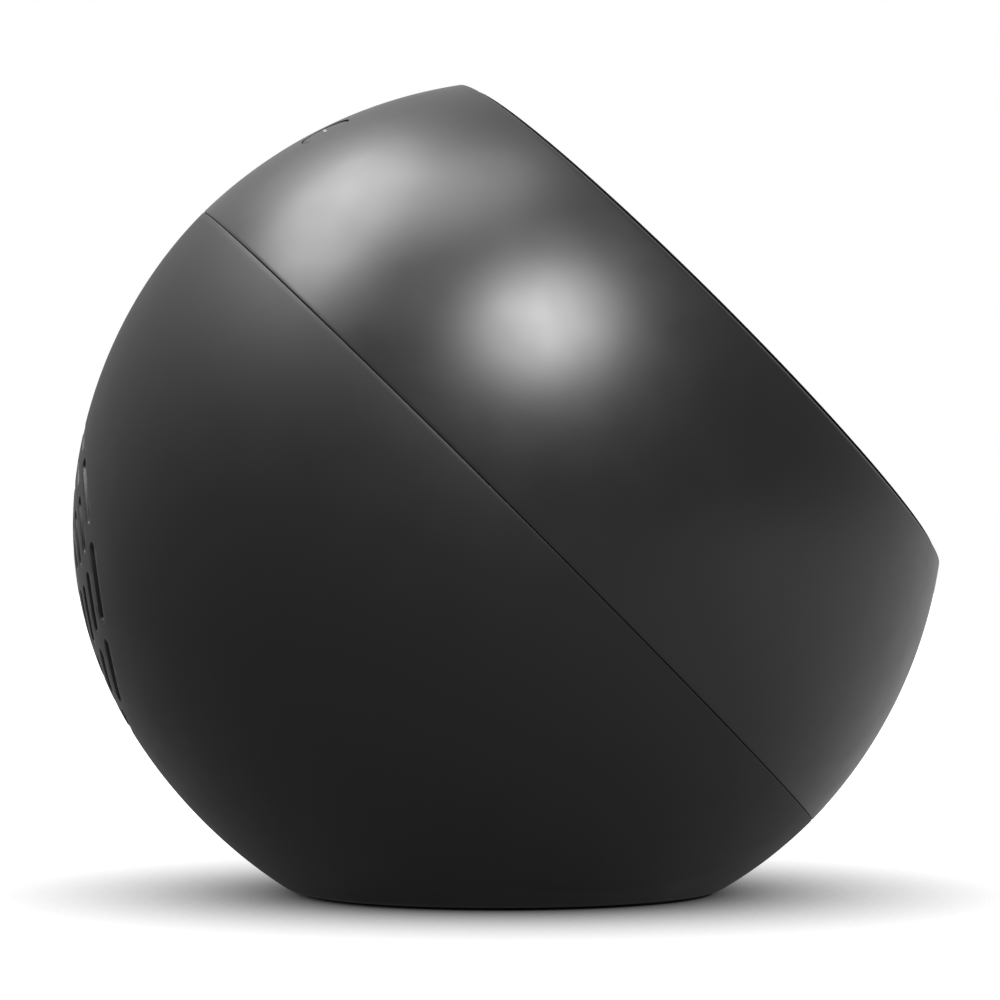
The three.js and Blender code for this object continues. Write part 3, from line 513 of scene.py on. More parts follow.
flat_height = 0.3 * mm
flat_fillet = 4.0 * mm
foot_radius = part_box("base_plate")[1].x
base_opening = foot_radius + fit_gap
plate_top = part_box("base_plate")[1].z
seat_bottom = plate_top + fit_gap
cos_tilt = math.cos(display_tilt)
sin_tilt = math.sin(display_tilt)
azimuth = full_turn(fine_sides)


def spoke(alpha, reach):
    """Points on every azimuth, at polar angles alpha from straight down, at a reach from the middle."""
    return ring_points(reach * np.sin(alpha), ball_height - reach * np.cos(alpha), azimuth)


def pole_angle(alpha):
    """Angle from the rear pole of the display axis, for polar angles alpha from straight down."""
    along = sin_tilt * np.sin(alpha) * np.sin(azimuth) + cos_tilt * np.cos(alpha)
    return np.arccos(np.clip(along, -1, 1))


def seam_alpha(depth, reach):
    """Polar angle from straight down of the ring at a reach and a depth below the seam's middle plane."""
    lean = np.hypot(sin_tilt * np.sin(azimuth), cos_tilt)
    return np.arctan2(sin_tilt * np.sin(azimuth), cos_tilt) + np.arccos(depth / reach / lean)


def shell_side(inset, low_alpha, high_alpha, steps):
    """Rows of the skin, less an inset, from one polar angle on each azimuth up to another."""
    rows = []
    for share in np.linspace(0, 1, steps):
        alpha = low_alpha + (high_alpha - low_alpha) * share
        rows.append(spoke(alpha, skin_reach(pole_angle(alpha)) - inset))
    return rows


# The fillet under the ball: its centre lies its own radius above the flat and inside the skin.
trial = np.linspace(math.radians(20), math.radians(50), 600)
tries = np.stack([ball_height - (skin_reach(pole_angle(a)) - flat_fillet) * np.cos(a) for a in trial])
centre_height = flat_height + flat_fillet
fillet_alpha = np.array([np.interp(centre_height, tries[:, i], trial) for i in range(fine_sides)])
fillet_reach = (skin_reach(pole_angle(fillet_alpha)) - flat_fillet) * np.sin(fillet_alpha)
fillet_rows = []
for share in np.linspace(0, 1, 12)[:-1]:
    lean = fillet_alpha * share
    foot_out = fillet_reach + flat_fillet * np.sin(lean)
    fillet_rows.append(ring_points(foot_out, centre_height - flat_fillet * np.cos(lean), azimuth))

seam_reach = float(skin_reach(quarter))
seam_edge = seam_alpha(seam_face + edge_round, seam_reach)
rows = [ring_points(base_opening, height, azimuth) for height in (seat_bottom, flat_height)]
rows += fillet_rows
rows += shell_side(0.0, fillet_alpha, seam_edge, 120)
for turn in np.radians([60, 30, 0]):
    reach = seam_reach - edge_round * (1 - math.sin(turn))
    depth = seam_face + edge_round * (1 - math.cos(turn))
    rows.append(spoke(seam_alpha(depth, reach), reach))
wall_reach = body_radius - wall
bead_rows = [
    (seam_face, wall_reach), (-bead_low - bead_height, wall_reach),
    (-bead_low, wall_reach + bead_height), (-bead_low + bead_height, wall_reach),
]
for depth, radius in bead_rows:
    reach = math.hypot(radius, depth)
    rows.append(spoke(seam_alpha(depth, reach), reach))
inner_top = seam_alpha(tongue_height + 2 * mm, wall_reach)
seat_radius = math.sqrt(wall_reach**2 - (ball_height - seat_bottom) ** 2)
inner_low = math.asin(seat_radius / wall_reach) + 0 * azimuth
rows += shell_side(wall, inner_low, inner_top, 60)[::-1]
rear_shell = skinned("rear_shell_moulding", np.stack(rows), loop=True)

driver_tilt = math.radians(-8.9 - 90)
driver_radius = 19.6 * mm
slot_width = 1.3 * mm
slot_ring_pitch = 3.15 * mm
slot_rings = 6
slot_margin = 1.15 * mm
slot_bridge = 2.4 * mm
slot_pitch = 9 * mm
slots_per_ring = 10
slot_twist = math.radians(9)
slot_flare = 0.12 * mm
slot_depth = 4 * mm


def on_driver(points):
    """From the driver frame, whose Z points out of the middle of the grille."""
    return tipped(points, driver_tilt, ball_height)


def skin_over(x, y):
    """Height of the skin above points of the driver frame, found by sliding each point out to meet it."""
    height = np.sqrt(body_radius**2 - x**2 - y**2)
    axis = tipped(np.array([0, 0, -1.0]), display_tilt - driver_tilt)
    for _ in range(6):
        points = np.stack([x, y, height], axis=-1)
        reach = np.linalg.norm(points, axis=-1)
        target = skin_reach(np.arccos(points @ axis / reach))
        height = height + (target - reach) * reach / height
    return height


def slot_outline(radius, middle, half_angle, widen):
    """A dash of the grille: an arc of a ring with half-round ends, widened all round by an allowance."""
    half = slot_width / 2 + widen
    along = np.linspace(-half_angle, half_angle, 12)
    round_end = np.linspace(-quarter, quarter, 9)[1:-1]
    cap_turn = half * np.cos(round_end) / radius
    cap_rise = half * np.sin(round_end)
    turn = np.concatenate([along, half_angle + cap_turn, along[::-1], -half_angle - cap_turn])
    rise = np.concatenate([0 * along - half, cap_rise, 0 * along + half, cap_rise[::-1]])
    return (radius + rise) * np.cos(middle + turn), (radius + rise) * np.sin(middle + turn)


def slot_cutter(radius, middle, half_angle):
    """A cutter for one dash, straight through the wall and flared where it meets the skin."""
    levels = [(0, -slot_depth), (0, -slot_flare), (0.3 * slot_flare, -0.3 * slot_flare),
              (slot_flare, 0), (slot_flare, cutter_rise)]
    rows = []
    for widen, rise in levels:
        x, y = slot_outline(radius, middle, half_angle, widen)
        rows.append(np.stack([x, y, skin_over(x, y) + rise], axis=-1))
    return skinned("slot", on_driver(np.stack(rows)))


slots = []
for ring_number in range(slot_rings):
    ring_radius = driver_radius - slot_margin - ring_number * slot_ring_pitch
    count = min(slots_per_ring, round(2 * math.pi * ring_radius / slot_pitch))
    step = 2 * math.pi / count
    half_angle = step / 2 - (slot_bridge + slot_width) / (2 * ring_radius)
    for turn in range(count):
        slots.append(slot_cutter(ring_radius, turn * step - ring_number * slot_twist, half_angle))
# In the middle of the rings, a dash with hardly any length makes a round hole.
slots.append(slot_cutter(0.02 * mm, 0.0, 0.001))
carved(rear_shell, merged("grille_slots", slots))

power_low, power_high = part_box("power_socket")
audio_low, audio_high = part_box("audio_socket")
socket_height = (power_low.z + power_high.z) / 2
audio_x = (audio_low.x + audio_high.x) / 2
power_nose_radius = 3.7 * mm
audio_nose_radius = 2.9 * mm


def to_the_back(points, x):
    """From a frame whose Z points straight back out of a socket, at an offset to the side."""
    return tipped(points, -quarter, socket_height) + np.array([x, 0, 0])


holes = []
for nose_radius, x in [(power_nose_radius, 0.0), (audio_nose_radius, audio_x)]:
    straight = [(nose_radius + fit_gap, 30 * mm), (nose_radius + fit_gap, 60 * mm)]
    holes.append(skinned("socket_hole", to_the_back(lathed(straight, 64), x)))
carved(rear_shell, merged("socket_holes", holes))

# Matt PC-ABS: a deeper spark-eroded texture than the front shell's, so it only shows broad soft light.
matt_abs = moulded("matt_moulded_pc_abs", "#111112", 0.53, 0.35 * mm, 0.004 * mm)
dress(rear_shell, matt_abs, "matt_black_plastic", "rear_shell")


# ---------------------------------------------------------------- cover glass
# A flat disc of aluminosilicate glass with a polished pencil edge, glued on the ledge so that it stands
# just proud of the rim. Black ink is printed on its back round the screen, with a clear dot for the camera.

pencil_edge = 0.3 * mm
glass_outline = np.concatenate([
    [(0, glass_bottom)],
    arc((glass_radius - edge_round, glass_bottom + edge_round), edge_round, -90, 0, 4),
    arc((glass_radius - pencil_edge, glass_top - pencil_edge), pencil_edge, 0, 90, 7),
    [(0, glass_top)],
])
cover_glass = skinned("cover_glass_disc", on_display(lathed(glass_outline)))

# Aluminosilicate glass with a slight grey tint. It is mirror-smooth, with faint wiping marks that only
# change its gloss.
glass, tree, where = new_material("polished_aluminosilicate_glass")
wipe = noise(tree, where, 12 * mm, 4, 0.6)
feed(tree, {"Roughness": ranged(tree, wipe, 0.02, 0.06, 0.35, 0.7)},
     {"Base Color": hex_colour("#aab2b5"), "Transmission Weight": 1.0, "IOR": 1.51})
dress(cover_glass, glass, "cover_glass", "cover_glass")

camera_barrel_radius = 1.6 * mm
lcd_thickness = 3.2 * mm
lcd_high = glass_bottom - fit_gap
lcd_low = lcd_high - lcd_thickness
lcd_radius = ledge_inner - 2 * (camera_barrel_radius + fit_gap)
camera_y = lcd_radius + fit_gap + camera_barrel_radius
screen_radius = lcd_radius - 0.9 * mm
camera_dot_radius = 1.3 * mm
ink_thickness = 0.04 * mm
ink_top = glass_bottom - 0.02 * mm
ink_edge = glass_radius - pencil_edge
ink_outline = [(screen_radius, ink_top - ink_thickness), (ink_edge, ink_top - ink_thickness),
               (ink_edge, ink_top), (screen_radius, ink_top)]
ink_border = skinned("ink_border", on_display(lathed(ink_outline)), loop=True)
dot = lathed([(camera_dot_radius, ink_top - 1 * mm), (camera_dot_radius, ink_top + 1 * mm)], 48)
carved(ink_border, skinned("camera_dot", on_display(dot + np.array([0, camera_y, 0]))))
# Screen-printed ink: dense carbon black that dries with a fine orange-peel.
black_ink = moulded("screen_printed_black_ink", "#070708", 0.4, 0.2 * mm, 0.001 * mm)
dress(ink_border, black_ink, "cover_glass")

# A thin matt black shell that hardly reflects covers the polished edge, so that from the side the glass
# ends in a thin dark line.
dark_edge_reach = 0.04 * mm
edge_middle = (glass_radius - pencil_edge, glass_top - pencil_edge)
edge_outline = np.concatenate([
    [(glass_radius + dark_edge_reach, glass_bottom)],
    arc(edge_middle, pencil_edge + dark_edge_reach, 0, 90, 7),
    arc(edge_middle, pencil_edge + 0.01 * mm, 90, 0, 7),
    [(glass_radius + 0.01 * mm, glass_bottom)],
])
dark_edge_shell = skinned("dark_edge_shell", on_display(lathed(edge_outline)), loop=True)
edge_black = moulded("matt_black_edge_shell", "#040404", 0.9, 0.2 * mm, 0.001 * mm)
edge_black.node_tree.nodes["Principled BSDF"].inputs["Specular IOR Level"].default_value = 0.1
dress(dark_edge_shell, edge_black, "cover_glass")


# ---------------------------------------------------------------- display panel
# A round LCD: a stack of glass and films with a glossy polariser on top, set in a folded tin-plated steel
# tray. It is off, so the polariser shows a deep blue-black.

film_step = 0.5 * mm
tray_lip = 0.35 * mm
tray_top = lcd_high - 1.1 * mm
panel_low = tray_top + 0.02 * mm
panel_outline = np.concatenate([
    [(0, panel_low), (lcd_radius - tray_lip, panel_low)],
    [(lcd_radius - tray_lip, lcd_high - film_step / 2), (lcd_radius - film_step, lcd_high - film_step / 2)],
    arc((lcd_radius - film_step - edge_round, lcd_high - edge_round), edge_round, 0, 90, 4),
    [(0, lcd_high)],
])
display_panel = skinned("display_panel", on_display(lathed(panel_outline, 192)))

# Polariser film: blue-black when the panel is off. Its cells are 0.1 mm apart on the real panel and are
# drawn here at 0.35 mm, so that they show at all.
polariser, tree, where = new_material("polariser_film_on_lcd_glass")
cells = add(tree, "ShaderNodeTexVoronoi", values={"Scale": 1 / (0.35 * mm)},
            links={"Vector": where}).outputs["Distance"]
feed(tree, {"Base Color": two_tone(tree, cells, hex_colour("#090b12"), hex_colour("#10131d")),
            "Roughness": ranged(tree, cells, 0.10, 0.16)})
dress(display_panel, polariser, "dark_plastic", "display_module")

tray_fold = 0.5 * mm
tray_outline = np.concatenate([
    [(0, lcd_low + tray_lip), (0.62 * lcd_radius, lcd_low + tray_lip), (0.66 * lcd_radius, lcd_low)],
    arc((lcd_radius - tray_fold, lcd_low + tray_fold), tray_fold, -90, 0, 6),
    [(lcd_radius, lcd_high - tray_lip), (lcd_radius - tray_lip + 0.05 * mm, lcd_high - tray_lip)],
    [(lcd_radius - tray_lip + 0.05 * mm, tray_top), (0, tray_top)],
])
backlight_tray = skinned("backlight_tray", on_display(lathed(tray_outline, 192)))


def sheet_metal(name, colour, roughness, grain, stretch=(1, 1, 8)):
    """Rolled or turned metal: bright, with fine streaks one way and cloudy patches in its gloss."""
    material, tree, where = new_material(name)
    drawn = add(tree, "ShaderNodeMapping", values={"Scale": stretch}, links={"Vector": where}).outputs[0]
    streak = noise(tree, drawn, grain, 3)
    cloud = noise(tree, where, 4 * mm, 4)
    base = np.array(hex_colour(colour)[:3])
    tone = two_tone(tree, streak, (*(base * 0.82), 1), (*base, 1))
    gloss = ranged(tree, cloud, roughness - 0.06, roughness + 0.08)
    feed(tree, {"Base Color": tone, "Roughness": gloss}, {"Metallic": 1.0}, streak, 0.3, 0.003 * mm)
    return material


# Tin plate: pale silver with a soft bloom.
tin_plate = sheet_metal("rolled_tin_plate", "#b9bcbe", 0.34, 0.5 * mm)
dress(backlight_tray, tin_plate, "tinned_steel")


# ---------------------------------------------------------------- camera module
# A fixed-focus camera that looks through the clear dot: a moulded holder, a stepped black barrel and a
# small coated lens whose violet glint is painted: its colour turns lighter where it is seen edge-on.


def rounded_outline(width, depth, corner, inset=0.0, steps=6):
    """x and y of a rectangle with round corners, moved in by an inset, going round anticlockwise."""
    corner = max(corner - inset, 0.02 * mm)
    half = np.array([width / 2 - inset - corner, depth / 2 - inset - corner])
    turns = np.linspace(0, quarter, steps)
    signs = [(1, 1), (-1, 1), (-1, -1), (1, -1)]
    x = [sx * half[0] + corner * np.cos(turns + i * quarter) for i, (sx, _) in enumerate(signs)]
    y = [sy * half[1] + corner * np.sin(turns + i * quarter) for i, (_, sy) in enumerate(signs)]
    return np.concatenate(x), np.concatenate(y)


def block(width, depth, low, high, corner, edge, centre=(0, 0)):
    """Points [row, column] of a block with round corners and rounded top and bottom edges."""
    levels = []
    for turn in np.radians([90, 60, 30, 0]):
        levels.append((edge * (1 - math.cos(turn)), low + edge * (1 - math.sin(turn))))
    for turn in np.radians([0, 30, 60, 90]):
        levels.append((edge * (1 - math.cos(turn)), high - edge * (1 - math.sin(turn))))
    points = []
    for inset, height in levels:
        x, y = rounded_outline(width, depth, corner, inset)
        points.append(np.stack([x + centre[0], y + centre[1], height + 0 * x], axis=-1))
    return np.stack(points)


camera_side = 7 * mm
camera_body_height = 3.8 * mm
camera_body_top = ledge_bottom - 1.4 * mm
camera_place = np.array([0, camera_y, 0])
barrel_mouth = 1.15 * mm
barrel_throat = 0.95 * mm
barrel_stop = lcd_high - 0.9 * mm
lens_radius = 0.9 * mm
lens_seat = lcd_high - 0.88 * mm
lens_bulge = 0.35 * mm
holder = block(camera_side, camera_side, camera_body_top - camera_body_height, camera_body_top, 0.8 * mm,
               0.2 * mm, (0, camera_y))
camera_holder = skinned("camera_holder", on_display(holder))
dark_nylon = moulded("moulded_black_nylon", "#1b1c1e", 0.5, 0.3 * mm, 0.004 * mm)
dress(camera_holder, dark_nylon, "dark_plastic", "camera_module")
barrel_outline = [
    (0, camera_body_top - 0.4 * mm), (camera_barrel_radius, camera_body_top - 0.4 * mm),
    (camera_barrel_radius, lcd_high - 0.1 * mm), (camera_barrel_radius - 0.1 * mm, lcd_high),
    (barrel_mouth, lcd_high), (barrel_throat, lcd_high - 0.5 * mm),
    (barrel_throat, barrel_stop), (0, barrel_stop),
]
camera_barrel = skinned("camera_barrel", on_display(lathed(barrel_outline, 64) + camera_place))
dress(camera_barrel, dark_nylon, "dark_plastic")
lens_turns = np.linspace(quarter, 0, 10)
lens_face = [lens_radius * np.sin(lens_turns), lcd_high - 0.75 * mm + lens_bulge * np.cos(lens_turns)]
lens_outline = np.concatenate([[(0, lens_seat), (lens_radius, lens_seat)], np.stack(lens_face, axis=1)])
camera_lens = skinned("camera_lens", on_display(lathed(lens_outline, 48) + camera_place))
coated, tree, _ = new_material("coated_camera_lens")
# Painted glint: the lens colour turns lighter and bluer the more edge-on it is seen.
painted_glint_share = add(tree, "ShaderNodeLayerWeight", values={"Blend": 0.45}).outputs["Facing"]
feed(tree, {"Base Color": two_tone(tree, painted_glint_share, hex_colour("#0a0714"), hex_colour("#31406e"))},
     {"Roughness": 0.04, "Coat Weight": 1.0})
dress(camera_lens, coated, "cover_glass")


# ---------------------------------------------------------------- rubber foot
# A die-cut and moulded silicone-rubber disc stuck under the base plate: it stops the speaker sliding and
# hides the base screws. Its edge is rounded and its underside has shallow rings to grip the table.

foot_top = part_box("rubber_foot")[1].z
foot_edge = 0.08 * mm
grip_pitch = 2.4 * mm
grip_depth = 0.12 * mm
grip_rings = 8
grip_rows = []
for step_out in np.arange(1, grip_rings + 1) * grip_pitch:
    grip_rows += [(step_out, 0), (step_out + 0.2 * mm, grip_depth)]
    grip_rows += [(step_out + 0.8 * mm, grip_depth), (step_out + 1.0 * mm, 0)]
foot_outline = np.concatenate([
    [(0, 0)], grip_rows,
    arc((foot_radius - foot_edge, foot_edge), foot_edge, -90, 0, 7),
    [(foot_radius, foot_top), (0, foot_top)],
])
rubber_foot = skinned("rubber_foot_pad", lathed(foot_outline, 192), smooth=50)
# Silicone rubber: near black, no gloss, with a little dust in its grain.
silicone = moulded("moulded_silicone_rubber", "#060606", 0.85, 0.4 * mm, 0.01 * mm, 0.25)
dress(rubber_foot, silicone, "black_rubber", "rubber_foot")


# ---------------------------------------------------------------- buttons
# Three satin ABS caps on the top of the front band: volume down, microphone mute and volume up. Each has
# a flange that stops it from coming out, a crowned top that follows the band, and a small raised mark.

button_names = ["volume_down", "mute", "volume_up"]
button_recess = 0.06 * mm
flange_depth = 6.1 * mm
flange_thickness = 1 * mm
flange_lip = 0.8 * mm
flange_top = body_radius - flange_depth
cap_edge = 0.2 * mm
crown_radius = float(skin_reach(quarter + button_lift)) - button_recess


def on_crown(x, y, rise=0.0):
    """Points of the button frame, a rise above the caps' crowned tops: a ball just under the skin."""
    return np.stack([x, y, np.sqrt(crown_radius**2 - x**2 - y**2) + rise], axis=-1)


def button_cap(name, centre_x):
    """A round cap: the flange, the stem, the rounded edge, and rings of a disc lifted to the crown."""
    turns = full_turn(64)
    flange_reach = button_radius + flange_lip
    levels = [(flange_reach, flange_top - flange_thickness), (flange_reach, flange_top),
              (button_radius, flange_top)]
    centre = np.array([centre_x, 0, 0])
    rows = [ring_points(radius, height, turns) + centre for radius, height in levels]
    rings = []
    for turn in np.radians([0, 30, 60, 90]):
        rings.append((button_radius - cap_edge * (1 - math.cos(turn)), -cap_edge * (1 - math.sin(turn))))
    rings += [(radius, 0.0) for radius in np.linspace(button_radius - cap_edge, 0, 9)[1:]]
    for radius, rise in rings:
        rows.append(on_crown(centre_x + radius * np.cos(turns), radius * np.sin(turns), rise))
    return skinned(name, on_band(np.stack(rows)))


mark_rise = 0.08 * mm
mark_width = 0.36 * mm
mark_root = 0.2 * mm
mark_length = 2.4 * mm


def raised_bar(name, centre_x, angle, length):
    """A bar with round ends that stands a little above a cap's crown."""
    x, y = spun(*rounded_outline(length, mark_width, mark_width / 2, 0, 5), angle)
    rows = [on_crown(centre_x + x, y, rise) for rise in (-mark_root, mark_rise)]
    return skinned(name, on_band(np.stack(rows)))


def raised_ring(name, centre_x, radius):
    """A thin ring that stands a little above a cap's crown."""
    turns = full_turn(48)
    wide = radius + mark_width
    rows = []
    for reach, rise in [(radius, -mark_root), (wide, -mark_root), (wide, mark_rise), (radius, mark_rise)]:
        rows.append(on_crown(centre_x + reach * np.cos(turns), reach * np.sin(turns), rise))
    return skinned(name, on_band(np.stack(rows)), loop=True)


# Pad-printed light grey over the raised marks.
mark_grey = moulded("pad_printed_grey_mark", "#77797b", 0.5, 0.2 * mm, 0.002 * mm)
for name, x in zip(button_names, button_x):
    cap = button_cap(f"{name}_button", x)
    dress(cap, satin_abs, "satin_black_plastic", f"{name}_cap", body=f"{name}_button")
    if name == "mute":
        marks = [raised_ring("mute_ring", x, 1.0 * mm),
                 raised_bar("mute_slash", x, math.radians(45), 3.0 * mm)]
    elif name == "volume_up":
        marks = [raised_bar("plus_across", x, 0, mark_length),
                 raised_bar("plus_along", x, quarter, mark_length)]
    else:
        marks = [raised_bar("minus_across", x, 0, mark_length)]
    for mark in marks:
        dress(mark, mark_grey, "satin_black_plastic", body=f"{name}_button")


# ---------------------------------------------------------------- grille cloth
# Woven polyester acoustic cloth stretched over the inside of the grille, heat-staked round its edge. It
# keeps dust out and shows between the slots as a dark fine weave.

cloth_thickness = 0.5 * mm
cloth_outer = float(skin_reach(math.radians(60))) - wall - fit_gap - 0.15 * mm
cloth_inner = cloth_outer - cloth_thickness
cloth_edge = math.asin((driver_radius - 0.1 * mm) / cloth_inner)


def ball_cap(reach, steps=24):
    """[radius, height] points from the axis out to the cloth's edge, at a reach from the ball's middle."""
    angles = np.linspace(0, cloth_edge, steps)
    return np.stack([reach * np.sin(angles), reach * np.cos(angles)], axis=1)


cloth_outline = np.concatenate([ball_cap(cloth_inner), ball_cap(cloth_outer)[::-1]])
grille_cloth = skinned("acoustic_cloth", on_driver(lathed(cloth_outline, 192)))

# Plain weave: warp and weft each a row of round threads, one over the other in turn. The real threads are
# 0.25 mm apart and are drawn 0.4 mm apart, so that they show.
weave, tree, where = new_material("woven_polyester_cloth")
thread_pitch = 0.4 * mm
warp = ridges(tree, where, "X", thread_pitch)
weft = ridges(tree, where, "Z", thread_pitch)
crossing = combined(tree, "MULTIPLY", warp, weft)
# The threads are lighter where they cross and darker around them: partly the dark gaps in the weave, partly
# painted shade.
thread = two_tone(tree, crossing, hex_colour("#040404"), hex_colour("#141415"))
matt = ranged(tree, noise(tree, where, 0.8 * mm, 4), 0.82, 0.98)
feed(tree, {"Base Color": thread, "Roughness": matt}, {"Sheen Weight": 0.1}, crossing, 0.8, 0.1 * mm)
dress(grille_cloth, weave, "acoustic_cloth", "grille_cloth")


# ---------------------------------------------------------------- sockets
# Two jacks soldered to the socket board, with round noses that reach into the shell's holes: a barrel
# jack for power, with a centre pin, and an audio jack. Black nylon with nickel-plated spring contacts.

pin_radius = 0.7 * mm
mouth_edge = 0.25 * mm
nickel = sheet_metal("nickel_plated_brass", "#c2bfb6", 0.22, 0.2 * mm)


def jack(name, body_depth, nose_radius, bore_radius, bore_depth):
    """A box with a round nose behind it, drilled from the back with a bore that has a small chamfer."""
    low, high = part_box(name)
    x = (low.x + high.x) / 2
    body_end = low.y + body_depth
    body = skinned(name + "_jack", block(high.x - low.x, body_depth, low.z, high.z, 0.4 * mm, 0.25 * mm,
                                         (x, low.y + body_depth / 2)))
    round_nose = np.concatenate([
        [(0, body_end - 1 * mm), (nose_radius, body_end - 1 * mm)],
        arc((nose_radius - mouth_edge, high.y - mouth_edge), mouth_edge, 0, 90, 5),
        [(0, high.y)],
    ])
    carved(body, skinned("nose", to_the_back(lathed(round_nose, 96), x)), "UNION")
    bore = [(0, high.y - bore_depth), (bore_radius, high.y - bore_depth),
            (bore_radius, high.y - mouth_edge), (bore_radius + 2 * mouth_edge, high.y + mouth_edge),
            (0, high.y + mouth_edge)]
    carved(body, skinned("bore", to_the_back(lathed(bore, 64), x)))
    dress(body, dark_nylon, "dark_plastic", name)
    return x, high.y


def spring_contact(name, x, y, turn, reach, length):
    """A bent leaf that bulges a little into a bore, at a turn about its axis."""
    along = np.linspace(-length / 2, length / 2, 13)
    bulge = reach - 0.35 * mm * np.cos(np.pi * along / length) ** 2
    rows = []
    for side, lift in [(-0.5 * mm, 0), (0.5 * mm, 0), (0.5 * mm, 0.15 * mm), (-0.5 * mm, 0.15 * mm)]:
        radius = bulge + lift
        rows.append(np.stack([side + 0 * along, radius, along], axis=-1))
    across, out, along = np.moveaxis(np.stack(rows, axis=1), -1, 0)
    turned = np.stack([*spun(across, out, turn), along + y], axis=-1)
    made = skinned(name, to_the_back(turned, x))
    return dress(made, nickel, "tinned_steel")


power_x, power_end = jack("power_socket", 13 * mm, power_nose_radius, 2.75 * mm, 9 * mm)
pin_outline = np.concatenate([
    [(0, power_end - 9.4 * mm), (pin_radius, power_end - 9.4 * mm)],
    arc((pin_radius - 0.3 * mm, power_end - 1.3 * mm), 0.3 * mm, 0, 90, 5),
    [(0, power_end - 1 * mm)],
])
centre_pin = skinned("centre_pin", to_the_back(lathed(pin_outline, 32), power_x))
dress(centre_pin, nickel, "tinned_steel")
spring_contact("power_leaf", power_x, power_end - 5 * mm, math.pi, 2.65 * mm, 5 * mm)

jack_x, audio_end = jack("audio_socket", 11 * mm, audio_nose_radius, 1.8 * mm, 10 * mm)
for i, depth in enumerate([3.5, 7]):
    spring_contact(f"audio_leaf_{i + 1}", jack_x, audio_end - depth * mm, i * math.pi, 1.7 * mm, 2.4 * mm)


# ---------------------------------------------------------------- inner plastics and foam
# These keep the shape of the CAD model. The mid frame and plungers are grey glass-filled nylon; the
# driver's basket and cup, the switches and the base plate are black nylon; foam tape seals glass and driver.


def keep(material, *names):
    """Gives a material to CAD nodes that keep their own mesh, with their round faces shaded smooth."""
    for name in names:
        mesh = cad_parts[name].data
        mesh.materials.clear()
        mesh.materials.append(material)
        mesh.polygons.foreach_set("use_smooth", np.ones(len(mesh.polygons), bool))
        mesh.set_sharp_from_angle(angle=math.radians(smooth_below))


keep(dark_nylon, "driver_basket", "driver_enclosure", "base_plate")
keep(dark_nylon, *[f"{name}_switch" for name in button_names])
# Glass-filled nylon: grey, dull, with the fibres just under its skin.
grey_nylon = moulded("glass_filled_grey_nylon", "#5a5e60", 0.55, 0.25 * mm, 0.006 * mm, 0.18)
keep(grey_nylon, "mid_frame", *[f"{name}_plunger" for name in button_names])

# Closed-cell foam tape: dark, quite matt, pitted by cut cells about half a millimetre across.
foam = moulded("closed_cell_foam_tape", "#2a2a2b", 0.93, 0.5 * mm, 0.12 * mm, 0.3)
keep(foam, "glass_adhesive", "driver_gasket")


# ---------------------------------------------------------------- metal inner pieces
# The heat spreader is a pressed aluminium disc, the processor shield and the microphones are tin-plated
# cans, and the screws, the driver's top plate and its yoke are zinc-plated steel.

# Pressed aluminium: pale, brushed along one direction.
aluminium = sheet_metal("pressed_aluminium", "#b4b8ba", 0.4, 0.3 * mm, (1, 12, 1))
keep(aluminium, "heat_spreader")
keep(tin_plate, "processor_shield", *[f"microphone_{i}" for i in range(1, 5)])

# Zinc plate: a cool blue-grey silver, cloudy in its gloss.
zinc_plate = sheet_metal("zinc_plated_steel", "#9ba0a6", 0.33, 0.15 * mm, (1, 1, 1))
for group in ("frame_screw", "board_screw", "enclosure_screw", "base_screw"):
    keep(zinc_plate, *[f"{group}_{i}" for i in range(1, 4)])
keep(zinc_plate, "socket_screw", "driver_top_plate", "driver_yoke")


# ---------------------------------------------------------------- circuit boards and flexes
# Glass-epoxy boards under green solder mask, with copper tracks that show through it and tinned pads. The
# antennas and the flat cables of the display and the camera are amber polyimide film over copper lines.


def board_face(name, track_pitch, pad_pitch):
    """Solder mask: a darker green over the laminate and a lighter one over tracks laid out like
    brickwork, with round tinned pads on a jittered grid."""
    material, tree, where = new_material(name)
    tracks = add(tree, "ShaderNodeTexBrick", values={
        "Scale": 1 / track_pitch, "Mortar Size": 0.06, "Mortar Smooth": 0.2, "Brick Width": 2.5,
        "Row Height": 0.4, "Color1": hex_colour("#0d4a2a"), "Color2": hex_colour("#0f5230"),
        "Mortar": hex_colour("#2c7a4a"),
    }, links={"Vector": where})
    pads = add(tree, "ShaderNodeTexVoronoi", values={"Scale": 1 / pad_pitch, "Randomness": 0.6},
               links={"Vector": where})
    bare = add(tree, "ShaderNodeMath", {"operation": "LESS_THAN"}, {1: 0.16},
               {0: pads.outputs["Distance"]}).outputs[0]
    face = add(tree, "ShaderNodeMix", {"data_type": "RGBA"}, {7: hex_colour("#b9bbb8")},
               {0: bare, 6: tracks.outputs["Color"]})
    gloss = ranged(tree, bare, 0.42, 0.3)
    feed(tree, {"Base Color": face.outputs[2], "Roughness": gloss, "Metallic": bare},
         None, tracks.outputs["Fac"], 0.6, 0.03 * mm)
    return material


# Tracks are 0.2 mm wide on the real boards and are drawn about twice as wide, so that they show.
solder_mask = board_face("green_solder_mask", 3 * mm, 2.6 * mm)
keep(solder_mask, "main_board", "button_board", "socket_board")

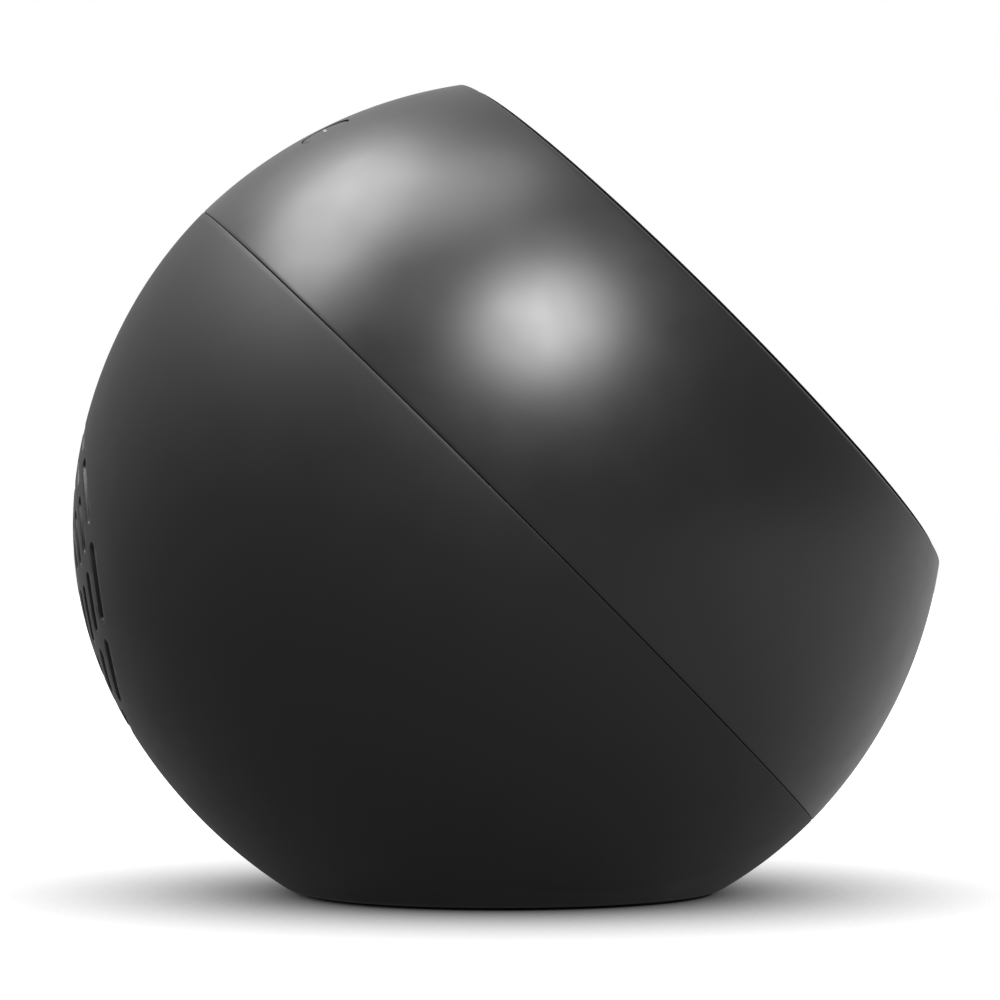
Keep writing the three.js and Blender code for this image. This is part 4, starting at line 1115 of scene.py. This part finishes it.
# Polyimide film: clear amber over parallel copper lines, here 0.5 mm apart.
polyimide, tree, where = new_material("polyimide_film_over_copper")
copper_lines = ridges(tree, where, "X", 0.5 * mm)
amber = two_tone(tree, copper_lines, hex_colour("#6e3a0c"), hex_colour("#b8691f"))
sheen = ranged(tree, noise(tree, where, 3 * mm, 3), 0.2, 0.38)
feed(tree, {"Base Color": amber, "Roughness": sheen}, None, copper_lines, 0.4, 0.03 * mm)
keep(polyimide, "antenna_left", "antenna_right", "display_flex", "camera_flex")


# ---------------------------------------------------------------- driver and leads
# A small full-range driver: a ferrite ring magnet, a copper voice coil on the pole, a pressed-paper cone
# and dust cap, a rubber roll round the cone and a corrugated cloth spider. Two PVC leads run to the board.

# Sintered ferrite: charcoal grey, gritty, ground flat on its faces.
ferrite = moulded("sintered_ferrite", "#303032", 0.62, 0.15 * mm, 0.02 * mm, 0.15)
keep(ferrite, "driver_magnet")

# Enamelled copper wire wound in one close layer. The turns are drawn 0.25 mm apart, coarser than real.
winding, tree, where = new_material("enamelled_copper_winding")
along_coil = add(tree, "ShaderNodeMapping", values={"Rotation": (-driver_tilt, 0, 0)},
                 links={"Vector": where}).outputs[0]
wires = ridges(tree, along_coil, "Z", 0.25 * mm)
# Painted shade: the copper is darkened in the grooves between the turns.
copper = two_tone(tree, wires, hex_colour("#6b2a10"), hex_colour("#c8743c"))
enamel = ranged(tree, wires, 0.4, 0.22)
feed(tree, {"Base Color": copper, "Roughness": enamel}, {"Metallic": 1.0}, wires, 0.8, 0.08 * mm)
keep(winding, "voice_coil")

# Pressed paper pulp, dyed black: short fibres that stand a little proud of a matt face.
pulp = moulded("pressed_black_paper", "#19191a", 0.9, 0.6 * mm, 0.06 * mm, 0.35)
keep(pulp, "driver_cone", "dust_cap")

# Butyl rubber: smooth, dark and only slightly glossy.
butyl = moulded("butyl_rubber", "#121213", 0.55, 0.5 * mm, 0.004 * mm, 0.15)
keep(butyl, "surround")
keep(weave, "spider")

# PVC: soft black insulation with a faint drawn gloss.
pvc = moulded("pvc_insulation", "#141415", 0.42, 0.8 * mm, 0.003 * mm, 0.1)
keep(pvc, "speaker_lead", "power_lead")
